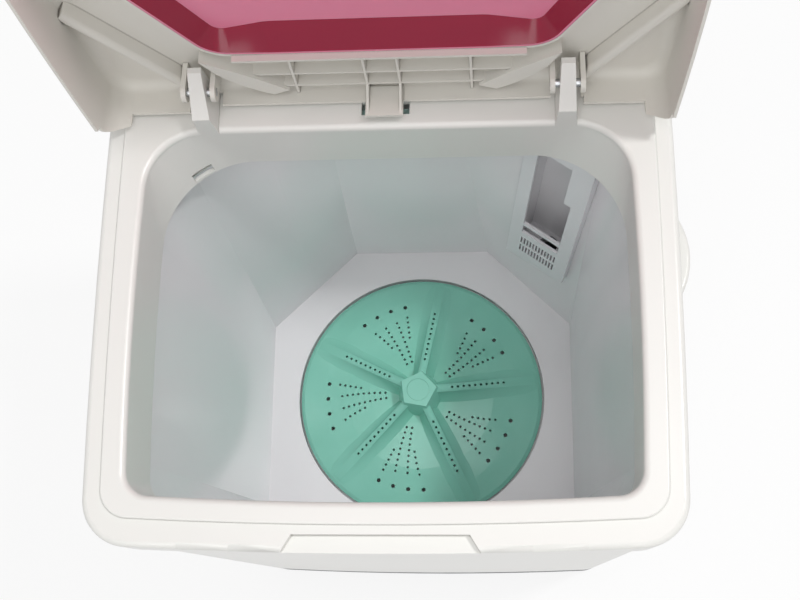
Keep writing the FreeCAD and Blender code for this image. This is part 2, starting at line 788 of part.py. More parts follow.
def lid_strap(z):
    """Curved stiffener from the hinge to the back ribs."""
    front = [Vec(x, HINGE_Y - y, z[0]) for x, y in STRAP_FRONT]
    rear = [Vec(x, HINGE_Y - y, z[0]) for x, y in STRAP_REAR]
    edges = [arc(*front), Part.makeLine(front[2], rear[2]), arc(*rear[::-1]),
             Part.makeLine(rear[0], front[0])]
    return Part.Face(Part.Wire(edges)).extrude(Vec(0, 0, z[1] - z[0]))


def lid_ribs():
    under = LID_TOP - LID_WALL / 2
    low = LID_TOP - LID_WALL - RIB_DEEP
    inner_back = LID_BACK - LID_WALL / 2
    flange_back = WINDOW_BACK + LID_WALL / 2
    first_rib = LID_BACK - LID_WALL - RIB_SETBACK
    ribs = []
    for y in (first_rib, first_rib - RIB_PITCH):
        ribs.append(lid_rib((-RIB_REACH, y), (RIB_REACH, y), (low, under)))
    for x in (-RIB_CROSS, -TONGUE_RIB, TONGUE_RIB, RIB_CROSS):
        ribs.append(lid_rib((x, flange_back), (x, inner_back), (low, under)))
    lug_outer = ARM_OFFSET + ARM_WIDTH / 2 + LUG_GAP + LUG_THICK
    bead = lid_bead((lug_outer, HINGE_Y + LUG_RADIUS), (LID_HALF - LID_WALL, HINGE_Y - BEAD_RISE),
                    (low - BEAD_DROP, under))
    strap = lid_strap((low - STRAP_DROP, under))
    ribs.append(lid_rib((-FLANGE_HALF, flange_back), (FLANGE_HALF, flange_back),
                        (LIP_Z - FLANGE_DROP, under), LID_WALL))
    room = lid_slab(LID_WALL / 2, LID_WALL / 2)
    return [rib.common(room) for rib in ribs + both_sides(bead) + both_sides(strap)]


def lid_lugs():
    """Plates on both sides of each arm that hold the pins."""
    lugs = []
    for side in (-1, 1):
        for hand in (-1, 1):
            near = side * ARM_OFFSET + hand * (ARM_WIDTH / 2 + LUG_GAP)
            far = near + hand * LUG_THICK
            x = (min(near, far), max(near, far))
            plate = box(x, (HINGE_Y - LUG_RADIUS, HINGE_Y + LUG_RADIUS), (HINGE_Z, LID_TOP - LID_WALL))
            eye = Part.makeCylinder(LUG_RADIUS, LUG_THICK, Vec(x[0], HINGE_Y, HINGE_Z), ACROSS)
            hole = Part.makeCylinder(PIN_RADIUS, LUG_THICK + OVERCUT * 2,
                                     Vec(x[0] - OVERCUT, HINGE_Y, HINGE_Z), ACROSS)
            lugs.append(plate.fuse(eye).cut(hole))
    return lugs


def lid_frame():
    shell = lid_slab(0, 0).cut(lid_slab(LID_WALL, LID_WALL))
    lip = window_slab(LID_WALL, (LIP_Z, LID_TOP - LID_WALL / 2))
    shell = joined(shell, lip, *lid_ribs())
    opening = window_slab(0, (LID_TOP - LID_DEPTH, LID_TOP + OVERCUT))
    rebate = window_slab(WINDOW_FLANGE, (LID_TOP - WINDOW_SHEET, LID_TOP + OVERCUT))
    shell = tilted(shell.cut(opening).cut(rebate))
    shell = joined(shell, *lid_lugs())
    reach = LID_HALF + OVERCUT
    below = box((-reach, reach), (LID_FRONT - LID_DEPTH, LID_BACK + LID_DEPTH),
                (DECK_Z - LID_DEPTH, BAND_Z + LID_SEAT_GAP))
    heel = box((-reach, reach), (HINGE_Y, LID_BACK + LID_DEPTH), (DECK_Z - LID_DEPTH, HINGE_Z))
    swing = Part.makeCylinder(HINGE_RISE - LID_HEEL_CLEAR, reach * 2, Vec(-reach, HINGE_Y, HINGE_Z), ACROSS)
    skirt_y = (LID_BACK - LID_WALL * 2, LID_BACK + OVERCUT)
    skirt = box((-LID_END_INNER, LID_END_INNER), skirt_y, (DECK_Z, HINGE_Z + LID_SKIRT_RISE))
    end_half = LID_HALF - LID_CORNER_BACK
    ends = box((-end_half, end_half), skirt_y, (DECK_Z, HINGE_Z - LID_END_DROP))
    gate = box((ARM_OFFSET - ARM_WIDTH / 2 - LID_SHAFT_GAP, ARM_OFFSET + ARM_WIDTH / 2 + LID_SHAFT_GAP),
               skirt_y, (DECK_Z, LID_TOP - LID_ROUND))
    frame = shell.cut(Part.makeCompound([below, heel.cut(swing)])).cut(Part.makeCompound([skirt, ends]))
    frame = frame.cut(Part.makeCompound(both_sides(gate)))
    tongue_low = HINGE_Z + LID_SKIRT_RISE - TONGUE_DROP
    inner_back = LID_BACK - LID_WALL
    tongue = box((-TONGUE_WIDTH / 2, TONGUE_WIDTH / 2), (inner_back - RIB, LID_BACK - RIB),
                 (tongue_low, LID_TOP - LID_ROUND))
    gusset = prism_x([(inner_back - RIB / 2, tongue_low), (inner_back - RIB / 2, LID_TOP - LID_ROUND),
                      (inner_back - RIB_SETBACK, LID_TOP - LID_ROUND)],
                     (TONGUE_RIB - RIB / 2, TONGUE_RIB + RIB / 2))
    return swung_open(joined(frame, tongue, *both_sides(gusset)))


def window_pan(inset):
    """Bevelled pan of the window, from the lip of the frame up to its flat panel."""
    low = window_wire(LIP_Z).makeOffset2D(-FIT - inset)
    high = pane_wire(LID_TOP + WINDOW_DOME - inset)
    return Part.makeLoft([low, high.makeOffset2D(-inset) if inset else high], True, True)


def lid_window():
    flange = window_slab(WINDOW_FLANGE - FIT, (LID_TOP - WINDOW_SHEET, LID_TOP))
    body = joined(flange, window_pan(0))
    hollow = window_pan(WINDOW_SHEET)
    discs = []
    for side in (-1, 1):
        centre = (side * DISC_OFFSET, WINDOW_BACK - DISC_SETBACK)
        discs.append(rod(centre, (LID_TOP, LID_TOP + WINDOW_DOME + DISC_PROUD), DISC_RADIUS))
    body = joined(body, *discs).cut(hollow)
    return swung_open(tilted(body))


def hinge_pins():
    length = ARM_WIDTH + (LUG_GAP + LUG_THICK) * 2
    pins = []
    for side in (-1, 1):
        end = Vec(side * ARM_OFFSET - length / 2, HINGE_Y, HINGE_Z)
        pins.append(Part.makeCylinder(PIN_RADIUS, length, end, ACROSS))
    return pins


# Wash tub: flat facets at the sides and back, cone-like corners, and a round well for the pulsator

def tub_rings(grow, floor_z):
    """Matching edges of the tub's floor and mouth, as pairs, once round the tub."""
    half = TUB_HALF + grow
    back = TUB_BACK + grow
    front = TUB_FRONT - grow
    back_round = TUB_CORNER_BACK + grow
    front_round = TUB_CORNER_FRONT + grow
    foot_half = half - TUB_SIDE_DRAFT
    foot_back = back - TUB_BACK_DRAFT
    foot_front = front + TUB_FRONT_DRAFT
    chamfer_y = foot_back - TUB_CHAMFER_Y
    facet_y = foot_back - FACET_LOW_BACK
    bulge = math.sqrt(0.5)
    mouth = [
        (0, front), (half - front_round, front), (half, front + front_round),
        (half, TUB_FRONT + FACET_TOP_FRONT),
        (half, TUB_BACK - FACET_TOP_BACK), (half, back - back_round),
        (half - back_round * (1 - bulge), back - back_round * (1 - bulge)), (half - back_round, back),
        (BACK_FACET_HALF, back), (0, back),
    ]
    floor = [
        (0, foot_front), (foot_half - TUB_FOOT_X, foot_front), (foot_half, foot_front + TUB_FOOT_Y),
        (foot_half, foot_front + FACET_LOW_FRONT), (foot_half, facet_y),
        (foot_half, (facet_y + chamfer_y) / 2),
        (foot_half, chamfer_y), (foot_half - TUB_CHAMFER_X / 2, foot_back - TUB_CHAMFER_Y / 2),
        (foot_half - TUB_CHAMFER_X, foot_back), (0, foot_back),
    ]
    turns = {1: Vec(half - front_round * (1 - bulge), front + front_round * (1 - bulge), TUB_MOUTH_Z)}
    for step, angle in ((5, 22.5), (6, 67.5)):
        turn = math.radians(angle)
        centre = Vec(half - back_round, back - back_round, TUB_MOUTH_Z)
        turns[step] = centre + Vec(math.cos(turn), math.sin(turn), 0) * back_round
    pairs = []
    for step in range(len(mouth) - 1):
        low = Part.makeLine(Vec(*floor[step], floor_z), Vec(*floor[step + 1], floor_z))
        start = Vec(*mouth[step], TUB_MOUTH_Z)
        end = Vec(*mouth[step + 1], TUB_MOUTH_Z)
        high = arc(start, turns[step], end) if step in turns else Part.makeLine(start, end)
        pairs.append((low, high))
    return pairs + [(mirrored(low), mirrored(high)) for low, high in pairs]


def ring_face(edges):
    return Part.Face(Part.Wire(Part.__sortEdges__(edges)))


def tub_volume(grow, floor_z, top):
    """Closed form of the tub, grown outwards, up to a height above its mouth."""
    pairs = tub_rings(grow, floor_z)
    mouth = ring_face([high for low, high in pairs])
    skin = [Part.makeRuledSurface(low, high) for low, high in pairs]
    skin += [mouth, ring_face([low for low, high in pairs])]
    shell = Part.makeShell(skin)
    shell.sewShape()
    bowl = Part.makeSolid(shell)
    if bowl.Volume < 0:
        bowl.reverse()
    return joined(bowl, mouth.extrude(UP * (top - TUB_MOUTH_Z)))


def tub_mouth(grow, z):
    face = ring_face([ends[1] for ends in tub_rings(grow, TUB_FLOOR)])
    return face.translated(UP * (z[0] - TUB_MOUTH_Z)).extrude(UP * (z[1] - z[0]))


# Overflow channel: a tall pocket behind the back right corner of the tub, closed by the filter cover


def channel_place(shape):
    """Carries a shape drawn with x along the corner face, y outwards and z up the face."""
    turn = FreeCAD.Rotation(UP, -CHANNEL_TURN).multiply(FreeCAD.Rotation(ACROSS, -CHANNEL_LEAN))
    diagonal = math.sqrt(0.5)
    place = Vec((CHANNEL_BACK + CHANNEL_SIDE) * diagonal, (CHANNEL_BACK - CHANNEL_SIDE) * diagonal, TUB_FLOOR)
    moved = shape.copy()
    moved.Placement = FreeCAD.Placement(place, turn)
    return moved


def channel_point(x, y, z):
    return channel_place(Part.Vertex(x, y, z)).Point


def channel_room():
    half = CHANNEL_WIDTH / 2
    return channel_place(box((-half, half), (COVER_FACE - COVER_PROUD, CHANNEL_DEPTH),
                             (CHANNEL_LOW, CHANNEL_LOW + CHANNEL_TALL)))


DRAIN_TOP = channel_point(0, DRAIN_SETBACK, CHANNEL_LOW)
DRAIN_OUTER = DRAIN_BORE + DRAIN_WALL
DRAIN_LINE = (DRAIN_TOP.x, DRAIN_TOP.y)


def wash_tub():
    inside = tub_volume(0, TUB_FLOOR, TUB_TOP + WALL + OVERCUT)
    well = rod(AXIS, (WELL_UNDER, TUB_FLOOR), PULSATOR_RADIUS + PULSATOR_GAP + WALL)
    half = CHANNEL_WIDTH / 2 + WALL
    pocket = channel_place(box((-half, half), (-WALL, CHANNEL_DEPTH + WALL),
                               (CHANNEL_LOW - WALL, CHANNEL_LOW + CHANNEL_TALL + WALL)))
    spigot = rod(DRAIN_LINE, (DRAIN_TOP.z - WALL - SPIGOT_LENGTH, DRAIN_TOP.z), DRAIN_OUTER)
    flange = tub_mouth(WALL + TUB_FLANGE, (TUB_TOP, TUB_TOP + WALL))
    room = channel_room()
    body = joined(tub_volume(WALL, TUB_FLOOR - WALL, TUB_TOP + WALL), flange, well, pocket, spigot.cut(room))
    sump = rod(AXIS, (WELL_Z, TUB_FLOOR + OVERCUT), PULSATOR_RADIUS + PULSATOR_GAP)
    neck_hole = rod(AXIS, (WELL_UNDER - OVERCUT, WELL_Z + OVERCUT), NECK_RADIUS + FIT)
    drain = rod(DRAIN_LINE, (DRAIN_TOP.z - WALL - SPIGOT_LENGTH - OVERCUT, DRAIN_TOP.z + WALL), DRAIN_BORE)
    return body.cut(inside).cut(Part.makeCompound([sump, neck_hole])).cut(room).cut(drain)


def filter_cover():
    plate = channel_place(box((-CHANNEL_WIDTH / 2 - COVER_RIM, CHANNEL_WIDTH / 2 + COVER_RIM),
                              (-COVER_PROUD, COVER_PROUD),
                              (CHANNEL_LOW - COVER_RIM, CHANNEL_LOW + CHANNEL_TALL + COVER_RIM)))
    cover = plate.common(tub_volume(0, TUB_FLOOR, TUB_TOP)).cut(channel_room())
    through = (-COVER_PROUD - OVERCUT, COVER_PROUD)
    cuts = []
    for row in range(2):
        low = CHANNEL_LOW + GRILLE_LOW + row * (GRILLE_TALL + GRILLE_GAP)
        for column in range(GRILLE_SLOTS):
            x = (column - (GRILLE_SLOTS - 1) / 2) * GRILLE_PITCH
            cuts.append(box((x - GRILLE_SLOT / 2, x + GRILLE_SLOT / 2), through, (low, low + GRILLE_TALL)))
    low = CHANNEL_LOW + PORT_LOW
    half = PORT_WIDTH / 2
    bar = low + PORT_BAR_RISE
    cuts.append(box((-half, half), through, (low, bar)))
    cuts.append(box((-half, half), through, (bar + PORT_BAR, low + PORT_STEP_RISE)))
    cuts.append(box((-half, half - PORT_STEP), through, (low + PORT_STEP_RISE - OVERCUT, low + PORT_TALL)))
    return cover.cut(channel_place(Part.makeCompound(cuts)))


# Pulsator: a shallow dome with five ridges, a five-sided hub and rows of holes

NECK_RADIUS = SHAFT_RADIUS + BUSH_WALL + HOUSING_WALL
PULSATOR_LOW = WELL_Z + PULSATOR_LIFT
DOME_TOP = TUB_FLOOR + DOME_RISE
HUB_TOP = TUB_FLOOR + HUB_RISE
HUB_FOOT = HUB_RADIUS + HUB_FLARE
SCREW_SEAT = HUB_TOP - CAP_THICK - SCREW_HEAD_THICK
SHAFT_TOP = SCREW_SEAT - SCREW_SEAT_THICK
BOSS_LOW = WELL_Z + NECK_RISE + OVERCUT


def dome_height(radius):
    """Height of the dome's upper face: an even fall from the hub to the rim, slightly swollen."""
    share = (PULSATOR_RADIUS - radius) / (PULSATOR_RADIUS - HUB_FOOT)
    return TUB_FLOOR + DOME_RISE * share + DOME_BULGE * math.sin(math.pi * share)


def dome_profile(drop):
    steps = [PULSATOR_RADIUS - RIM_EASE, *DOME_STEPS, HUB_FOOT]
    return [(r, dome_height(r) - drop) for r in steps]


def polar(radius, degrees, z=0):
    turn = math.radians(degrees)
    return Vec(radius * math.cos(turn), PULSATOR_Y + radius * math.sin(turn), z)


def ridge_section(radius, foot, crest, height):
    """Bell-shaped section across a ridge that runs along +X from the axis."""
    floor = dome_height(radius) - PULSATOR_SHEET / 2
    top = dome_height(radius) + height
    shoulder = top - height * CREST_ROUND
    waist = floor + (top - floor) * RIDGE_WAIST
    flank = (foot + crest) * RIDGE_FLANK

    def at(y, z):
        return Vec(radius, PULSATOR_Y + y, z)

    edges = [
        arc(at(-foot, floor), at(-flank, waist), at(-crest, shoulder)),
        arc(at(-crest, shoulder), at(0, top), at(crest, shoulder)),
        arc(at(crest, shoulder), at(flank, waist), at(foot, floor)),
        Part.makeLine(at(foot, floor), at(-foot, floor)),
    ]
    return Part.Wire(edges)


def ridge(angle):
    body = Part.makeLoft([ridge_section(*section) for section in RIDGE_SECTIONS], True, False)
    return body.rotated(Vec(*AXIS, 0), UP, angle)


def pulsator_holes():
    holes = []
    low = PULSATOR_LOW - OVERCUT
    high = HUB_TOP + OVERCUT

    def hole(radius, degrees, size):
        centre = polar(radius, degrees)
        turns = [math.radians(360 / HOLE_SIDES * k + degrees) for k in range(HOLE_SIDES)]
        outline = [(centre.x + size * math.cos(t), centre.y + size * math.sin(t)) for t in turns]
        holes.append(prism_z(outline, (low, high)))

    for k in range(RIDGES):
        ridge_angle = RIDGE_TURN + 360 / RIDGES * k
        for n in range(RIDGE_HOLES):
            hole(RIDGE_HOLE_FIRST + n * RIDGE_HOLE_STEP, ridge_angle, SMALL_HOLE)
        for n in range(RIM_HOLES):
            hole(RIM_HOLE_CIRCLE, ridge_angle + RIM_HOLE_START + n * RIM_HOLE_STEP, RIM_HOLE)
        for inner, outer, count, first in FAN_ROWS:
            for n in range(count):
                turn = inner + (outer - inner) * n / (count - 1)
                hole(first + n * FAN_STEP, ridge_angle + turn, SMALL_HOLE)
    return Part.makeCompound(holes)


def pulsator():
    top = dome_profile(0)
    under = dome_profile(PULSATOR_SHEET)
    rim = [(PULSATOR_RADIUS - PULSATOR_SHEET, PULSATOR_LOW), (PULSATOR_RADIUS, PULSATOR_LOW),
           (PULSATOR_RADIUS, TUB_FLOOR - RIM_EASE / 2)]
    hub_under = [(BOSS_RADIUS, dome_height(HUB_FOOT) - PULSATOR_SHEET), (BOSS_RADIUS, BOSS_LOW),
                 (0, BOSS_LOW)]
    outline = rim + top + [(0, dome_height(HUB_FOOT))] + hub_under[::-1] + under[::-1]
    dome = revolved(outline, AXIS)
    corners = [RIDGE_TURN + 360 / RIDGES * k for k in range(RIDGES)]
    low = [polar(HUB_FOOT - PULSATOR_SHEET, a, dome_height(HUB_FOOT) - PULSATOR_SHEET / 2) for a in corners]
    high = [polar(HUB_RADIUS, a, HUB_TOP) for a in corners]
    hub = Part.makeLoft([Part.makePolygon(low + low[:1]), Part.makePolygon(high + high[:1])], True, True)
    blades = []
    space = revolved([(BLADE_INNER, PULSATOR_LOW)] + [(r, z + PULSATOR_SHEET / 2) for r, z in under[::-1]]
                     + [(under[0][0], PULSATOR_LOW)], AXIS)
    for k in range(BLADES):
        blade = box((BLADE_INNER, BLADE_OUTER), (PULSATOR_Y - BLADE_THICK / 2, PULSATOR_Y + BLADE_THICK / 2),
                    (PULSATOR_LOW, DOME_TOP))
        blades.append(blade.rotated(Vec(*AXIS, 0), UP, 360 / BLADES * k + 360 / BLADES / 2).common(space))
    body = joined(dome, hub, *[ridge(a) for a in corners], *blades)
    socket = rod(AXIS, (BOSS_LOW - OVERCUT, SHAFT_TOP + FIT), SHAFT_RADIUS + TOUCH)
    screw_hole = rod(AXIS, (BOSS_LOW, HUB_TOP), SCREW_RADIUS + TOUCH)
    screw_pocket = rod(AXIS, (SCREW_SEAT, HUB_TOP + OVERCUT), CAP_RADIUS + TOUCH)
    return body.cut(Part.makeCompound([socket, screw_hole, screw_pocket])).cut(pulsator_holes())


def pulsator_shaft():
    threaded = rod(AXIS, (SHAFT_TOP - SCREW_LENGTH, SHAFT_TOP + OVERCUT), SCREW_RADIUS + TOUCH)
    return rod(AXIS, (SHAFT_LOW, SHAFT_TOP), SHAFT_RADIUS).cut(threaded)


def pulsator_screw():
    head = rod(AXIS, (SCREW_SEAT, SCREW_SEAT + SCREW_HEAD_THICK), SCREW_HEAD)
    shank = rod(AXIS, (SHAFT_TOP - SCREW_LENGTH + FIT, SCREW_SEAT), SCREW_RADIUS)
    return joined(head, shank)


def pulsator_cap():
    disc = rod(AXIS, (HUB_TOP - CAP_THICK, HUB_TOP), CAP_RADIUS)
    return disc.makeFillet(CAP_THICK / 4, level_edges(disc, HUB_TOP))


# Bearing housing under the tub, its bushes, seal, gasket and nut
HOUSING_TOP = WELL_UNDER - GASKET
HOUSING_LOW = HOUSING_TOP - HOUSING_LENGTH
NECK_TOP = WELL_Z + NECK_RISE
SEAT_RADIUS = SHAFT_RADIUS + BUSH_WALL
SHAFT_LOW = BELT_Z - PULLEY_HUB_LENGTH / 2 - PULLEY_NUT_THICK


def bearing_housing():
    tube = rod(AXIS, (HOUSING_LOW, NECK_TOP), NECK_RADIUS)
    flange = rod(AXIS, (HOUSING_TOP - HOUSING_FLANGE_THICK, HOUSING_TOP), HOUSING_FLANGE)
    under = HOUSING_TOP - HOUSING_FLANGE_THICK
    web = [Vec(NECK_RADIUS - RIB, -RIB, HOUSING_LOW + HOUSING_FOOT), Vec(NECK_RADIUS - RIB, -RIB, under),
           Vec(HOUSING_FLANGE - RIB, -RIB, under), Vec(NECK_RADIUS, -RIB, HOUSING_LOW + HOUSING_FOOT)]
    gusset = Part.Face(Part.makePolygon(web + web[:1])).extrude(BACKWARD * (RIB * 2))
    ribs = [gusset.rotated(Vec(0, 0, 0), UP, 90 * k).translated(Vec(*AXIS, 0)) for k in range(4)]
    bore = rod(AXIS, (HOUSING_LOW - OVERCUT, NECK_TOP + OVERCUT), SEAT_RADIUS)
    return joined(tube, flange, *ribs).cut(bore)


def bush_at(low):
    return ring(AXIS, (low, low + BUSH_LENGTH), SEAT_RADIUS, SHAFT_RADIUS + SHAFT_PLAY)


def pulley(centre, pitch, shaft):
    """V-groove rim on a hub, with spokes where the rim is wide enough."""
    reach = pitch + BELT_DEEP / 2
    root = pitch - BELT_DEEP / 2 - BELT_PLAY
    half_top = BELT_TOP / 2 + BELT_PLAY
    half_root = BELT_FOOT / 2 + BELT_PLAY
    edge = half_top + PULLEY_FLANGE
    inner = max(root - PULLEY_RIM, shaft)
    rim = revolved([(inner, -edge), (reach, -edge), (reach, -half_top), (root, -half_root), (root, half_root),
                    (reach, half_top), (reach, edge), (inner, edge)], (0, 0))
    hub_half = PULLEY_HUB_LENGTH / 2 if inner > PULLEY_HUB else edge
    hub = ring((0, 0), (-hub_half, hub_half), min(PULLEY_HUB, inner + PULLEY_FLANGE), shaft)
    pieces = [rim, hub]
    if inner > PULLEY_HUB:
        for k in range(SPOKES):
            spoke = box((PULLEY_HUB - RIB, inner + RIB), (-SPOKE_WIDTH / 2, SPOKE_WIDTH / 2),
                        (-PULLEY_WEB / 2, PULLEY_WEB / 2))
            pieces.append(spoke.rotated(Vec(0, 0, 0), UP, 360 / SPOKES * k))
    return joined(*pieces).translated(Vec(*centre, BELT_Z))


def drive_belt():
    """Belt round both pulleys, wedge-shaped in section."""
    gap = Vec(MOTOR[0] - AXIS[0], MOTOR[1] - AXIS[1], 0)
    heading = math.atan2(gap.y, gap.x)
    spread = math.acos((DRIVE_PITCH - MOTOR_PITCH) / gap.Length)

    def on(centre, radius, turn):
        return Vec(centre[0] + radius * math.cos(turn), centre[1] + radius * math.sin(turn), BELT_Z)

    first = on(AXIS, DRIVE_PITCH, heading + spread)
    second = on(MOTOR, MOTOR_PITCH, heading + spread)
    third = on(MOTOR, MOTOR_PITCH, heading - spread)
    last = on(AXIS, DRIVE_PITCH, heading - spread)
    path = Part.Wire([Part.makeLine(first, second), arc(second, on(MOTOR, MOTOR_PITCH, heading), third),
                      Part.makeLine(third, last), arc(last, on(AXIS, DRIVE_PITCH, heading + math.pi), first)])
    outward = Vec(math.cos(heading + spread), math.sin(heading + spread), 0) * (BELT_DEEP / 2)
    points = [first + outward + UP * (BELT_TOP / 2), first + outward - UP * (BELT_TOP / 2),
              first - outward - UP * (BELT_FOOT / 2), first - outward + UP * (BELT_FOOT / 2)]
    return path.makePipeShell([Part.makePolygon(points + points[:1])], True, False)


def housing_nut():
    blank = hexagon(AXIS, (WELL_Z, WELL_Z + NUT_THICK), NUT_FLATS)
    return blank.cut(rod(AXIS, (WELL_Z - OVERCUT, NECK_TOP), NECK_RADIUS))


def pulley_nut():
    blank = hexagon(AXIS, (SHAFT_LOW, SHAFT_LOW + PULLEY_NUT_THICK), PULLEY_NUT * 2)
    return blank.cut(rod(AXIS, (SHAFT_LOW - OVERCUT, BELT_Z), SHAFT_RADIUS))


# Motor on four rubber bushes, with its shaft upwards

MOTOR_TOP = BELT_Z - BELT_TOP / 2 - BELT_PLAY - PULLEY_FLANGE - MOTOR_NOSE_GAP
EAR_Z = MOTOR_TOP - MOTOR_NOSE_HEIGHT - BELL_HEIGHT * 2 - STATOR_HEIGHT
POST_TOP = EAR_Z - BUSH_HEIGHT
MOTOR_SHAFT_TOP = BELT_Z + BELT_TOP
MOTOR_SHAFT_LOW = MOTOR_TOP - BELL_HEIGHT * 2


def ear_places():
    turns = [math.radians(360 / MOTOR_EARS * (k + 0.5)) for k in range(MOTOR_EARS)]
    reach = MOTOR_EAR_CIRCLE
    return [(MOTOR[0] + reach * math.cos(t), MOTOR[1] + reach * math.sin(t)) for t in turns]


def motor_body():
    shoulder = EAR_Z + BELL_HEIGHT
    upper = shoulder + STATOR_HEIGHT
    top = upper + BELL_HEIGHT
    case = revolved([(0, EAR_Z), (BELL_TOP_RADIUS, EAR_Z), (MOTOR_RADIUS, shoulder - BELL_HEIGHT / 3),
                     (MOTOR_RADIUS, upper + BELL_HEIGHT / 3), (BELL_TOP_RADIUS, top), (MOTOR_NOSE, top),
                     (MOTOR_NOSE, MOTOR_TOP), (0, MOTOR_TOP)], MOTOR)
    ears = []
    for k in range(MOTOR_EARS):
        ear_z = (EAR_Z, EAR_Z + MOTOR_EAR_THICK)
        arm = box((0, MOTOR_EAR_CIRCLE), (-MOTOR_EAR_RADIUS, MOTOR_EAR_RADIUS), ear_z)
        end = rod((MOTOR_EAR_CIRCLE, 0), ear_z, MOTOR_EAR_RADIUS)
        ear = arm.fuse(end).rotated(Vec(0, 0, 0), UP, 360 / MOTOR_EARS * (k + 0.5))
        ears.append(ear.translated(Vec(*MOTOR, 0)))
    bore = rod(MOTOR, (MOTOR_SHAFT_LOW - FIT, MOTOR_TOP + OVERCUT), MOTOR_SHAFT_RADIUS + SHAFT_PLAY)
    bolts = []
    for place in ear_places():
        bolts.append(rod(place, (EAR_Z - OVERCUT, EAR_Z + BELL_HEIGHT), BOLT_RADIUS + TOUCH))
    return joined(case, *ears).cut(Part.makeCompound([bore] + bolts))


def motor_bush(place):
    return ring(place, (POST_TOP, EAR_Z), BUSH_RADIUS, BOLT_RADIUS + TOUCH)


def motor_bolt(place):
    seat = EAR_Z + MOTOR_EAR_THICK
    head = hexagon(place, (seat, seat + BOLT_HEAD_THICK), BOLT_HEAD * 2)
    return joined(head, rod(place, (BASE_FLOOR_TOP + BASE_FLOOR, seat), BOLT_RADIUS))


def capacitor():
    top = BASE_FLOOR_TOP + CAPACITOR_HEIGHT
    return rod((CAPACITOR_X, CAPACITOR_Y), (BASE_FLOOR_TOP, top), CAPACITOR_RADIUS)


def capacitor_clamp():
    centre = (CAPACITOR_X, CAPACITOR_Y)
    low = BASE_FLOOR_TOP + CAPACITOR_HEIGHT / 2
    band = ring(centre, (low, low + CLAMP_HEIGHT), CAPACITOR_RADIUS + CLAMP_WALL, CAPACITOR_RADIUS)
    side = CAPACITOR_X + CAPACITOR_RADIUS + CLAMP_WALL / 2
    y = (CAPACITOR_Y - CLAMP_HEIGHT / 2, CAPACITOR_Y + CLAMP_HEIGHT / 2)
    leg = box((side, side + CLAMP_WALL), y, (BASE_FLOOR_TOP, low + CLAMP_HEIGHT))
    foot = box((side, side + CLAMP_FOOT), y, (BASE_FLOOR_TOP, BASE_FLOOR_TOP + CLAMP_WALL))
    return joined(band, leg.cut(rod(centre, (0, DECK_Z), CAPACITOR_RADIUS + TOUCH)), foot)


# Base tray, feet and cabinet

def cabinet_slab(inset, z):
    corners = (DECK_CORNER_FRONT - CABINET_INSET - inset, DECK_CORNER_BACK - CABINET_INSET - inset)
    return slab(CABINET_HALF - inset, CABINET_FRONT + inset, CABINET_BACK - inset, z, corners)


def foot_places():
    x = CABINET_HALF - FOOT_INSET
    y = CABINET_BACK - FOOT_INSET
    return [(-x, -y), (-x, y), (x, -y), (x, y)]


def base():
    tray = cabinet_slab(0, (BASE_RISE, BASE_TOP))
    lip = cabinet_slab(WALL + FIT, (BASE_TOP, BASE_TOP + BASE_LIP))
    hollow = cabinet_slab(WALL * 2 + FIT, (BASE_FLOOR_TOP, BASE_TOP + BASE_LIP + OVERCUT))
    rib_z = (BASE_RISE, BASE_FLOOR_TOP + BASE_RIB_HEIGHT)
    rib_front = HOLE_BACK + WALL
    edge = CABINET_HALF - SIDE_BOW - WALL
    posts = [rod(place, (BASE_RISE, POST_TOP), POST_RADIUS) for place in ear_places()]
    ribs = []
    for y in (MOTOR[1] - MOTOR_EAR_CIRCLE, rib_front):
        ribs.append(box((-edge, edge), (y - WALL / 2, y + WALL / 2), rib_z))
    for x in (MOTOR[0], -MOTOR[0]):
        ribs.append(box((x - WALL / 2, x + WALL / 2), (rib_front, CABINET_BACK - WALL), rib_z))
    body = joined(joined(tray, lip).cut(hollow), *posts, *ribs)
    cuts = [rod(place, (BASE_FLOOR_TOP, EAR_Z), BOLT_RADIUS + TOUCH) for place in ear_places()]
    cuts += [rod(place, (0, BASE_TOP), FOOT_STEM + TOUCH) for place in foot_places()]
    half = BASE_HOLE_WIDTH / 2
    cuts.append(box((-half, half), (HOLE_FRONT, HOLE_BACK), (0, BASE_FLOOR_TOP + OVERCUT)))
    return body.cut(Part.makeCompound(cuts))


def foot(place):
    pad = cone(place, (0, BASE_RISE), FOOT_RADIUS - FOOT_TAPER, FOOT_RADIUS)
    stem = rod(place, (BASE_RISE, BASE_RISE + FOOT_STEM_LENGTH), FOOT_STEM)
    return joined(pad, stem)


HATCH = ((-HATCH_WIDTH / 2, HATCH_WIDTH / 2), (HATCH_LOW, HATCH_LOW + HATCH_HEIGHT))
VALVE_Y = BACK_Y - VALVE_BACK
VALVE = (DRAIN_LINE[0], VALVE_Y)


def outlet_bar(radius, x):
    return Part.makeCylinder(radius, x[1] - x[0], Vec(x[0], VALVE_Y, OUTLET_HEIGHT), ACROSS)


def gland_bar(radius, y):
    return Part.makeCylinder(radius, y[1] - y[0], Vec(GLAND_X, y[0], GLAND_Z), BACKWARD)


def cover_screw_places():
    half = HATCH_WIDTH / 2 + COVER_LAP / 2
    heights = [HATCH_LOW - COVER_LAP / 2 + k * (HATCH_HEIGHT + COVER_LAP) / 2 for k in range(3)]
    return [Vec(side * half, CABINET_BACK, z) for side in (-1, 1) for z in heights]


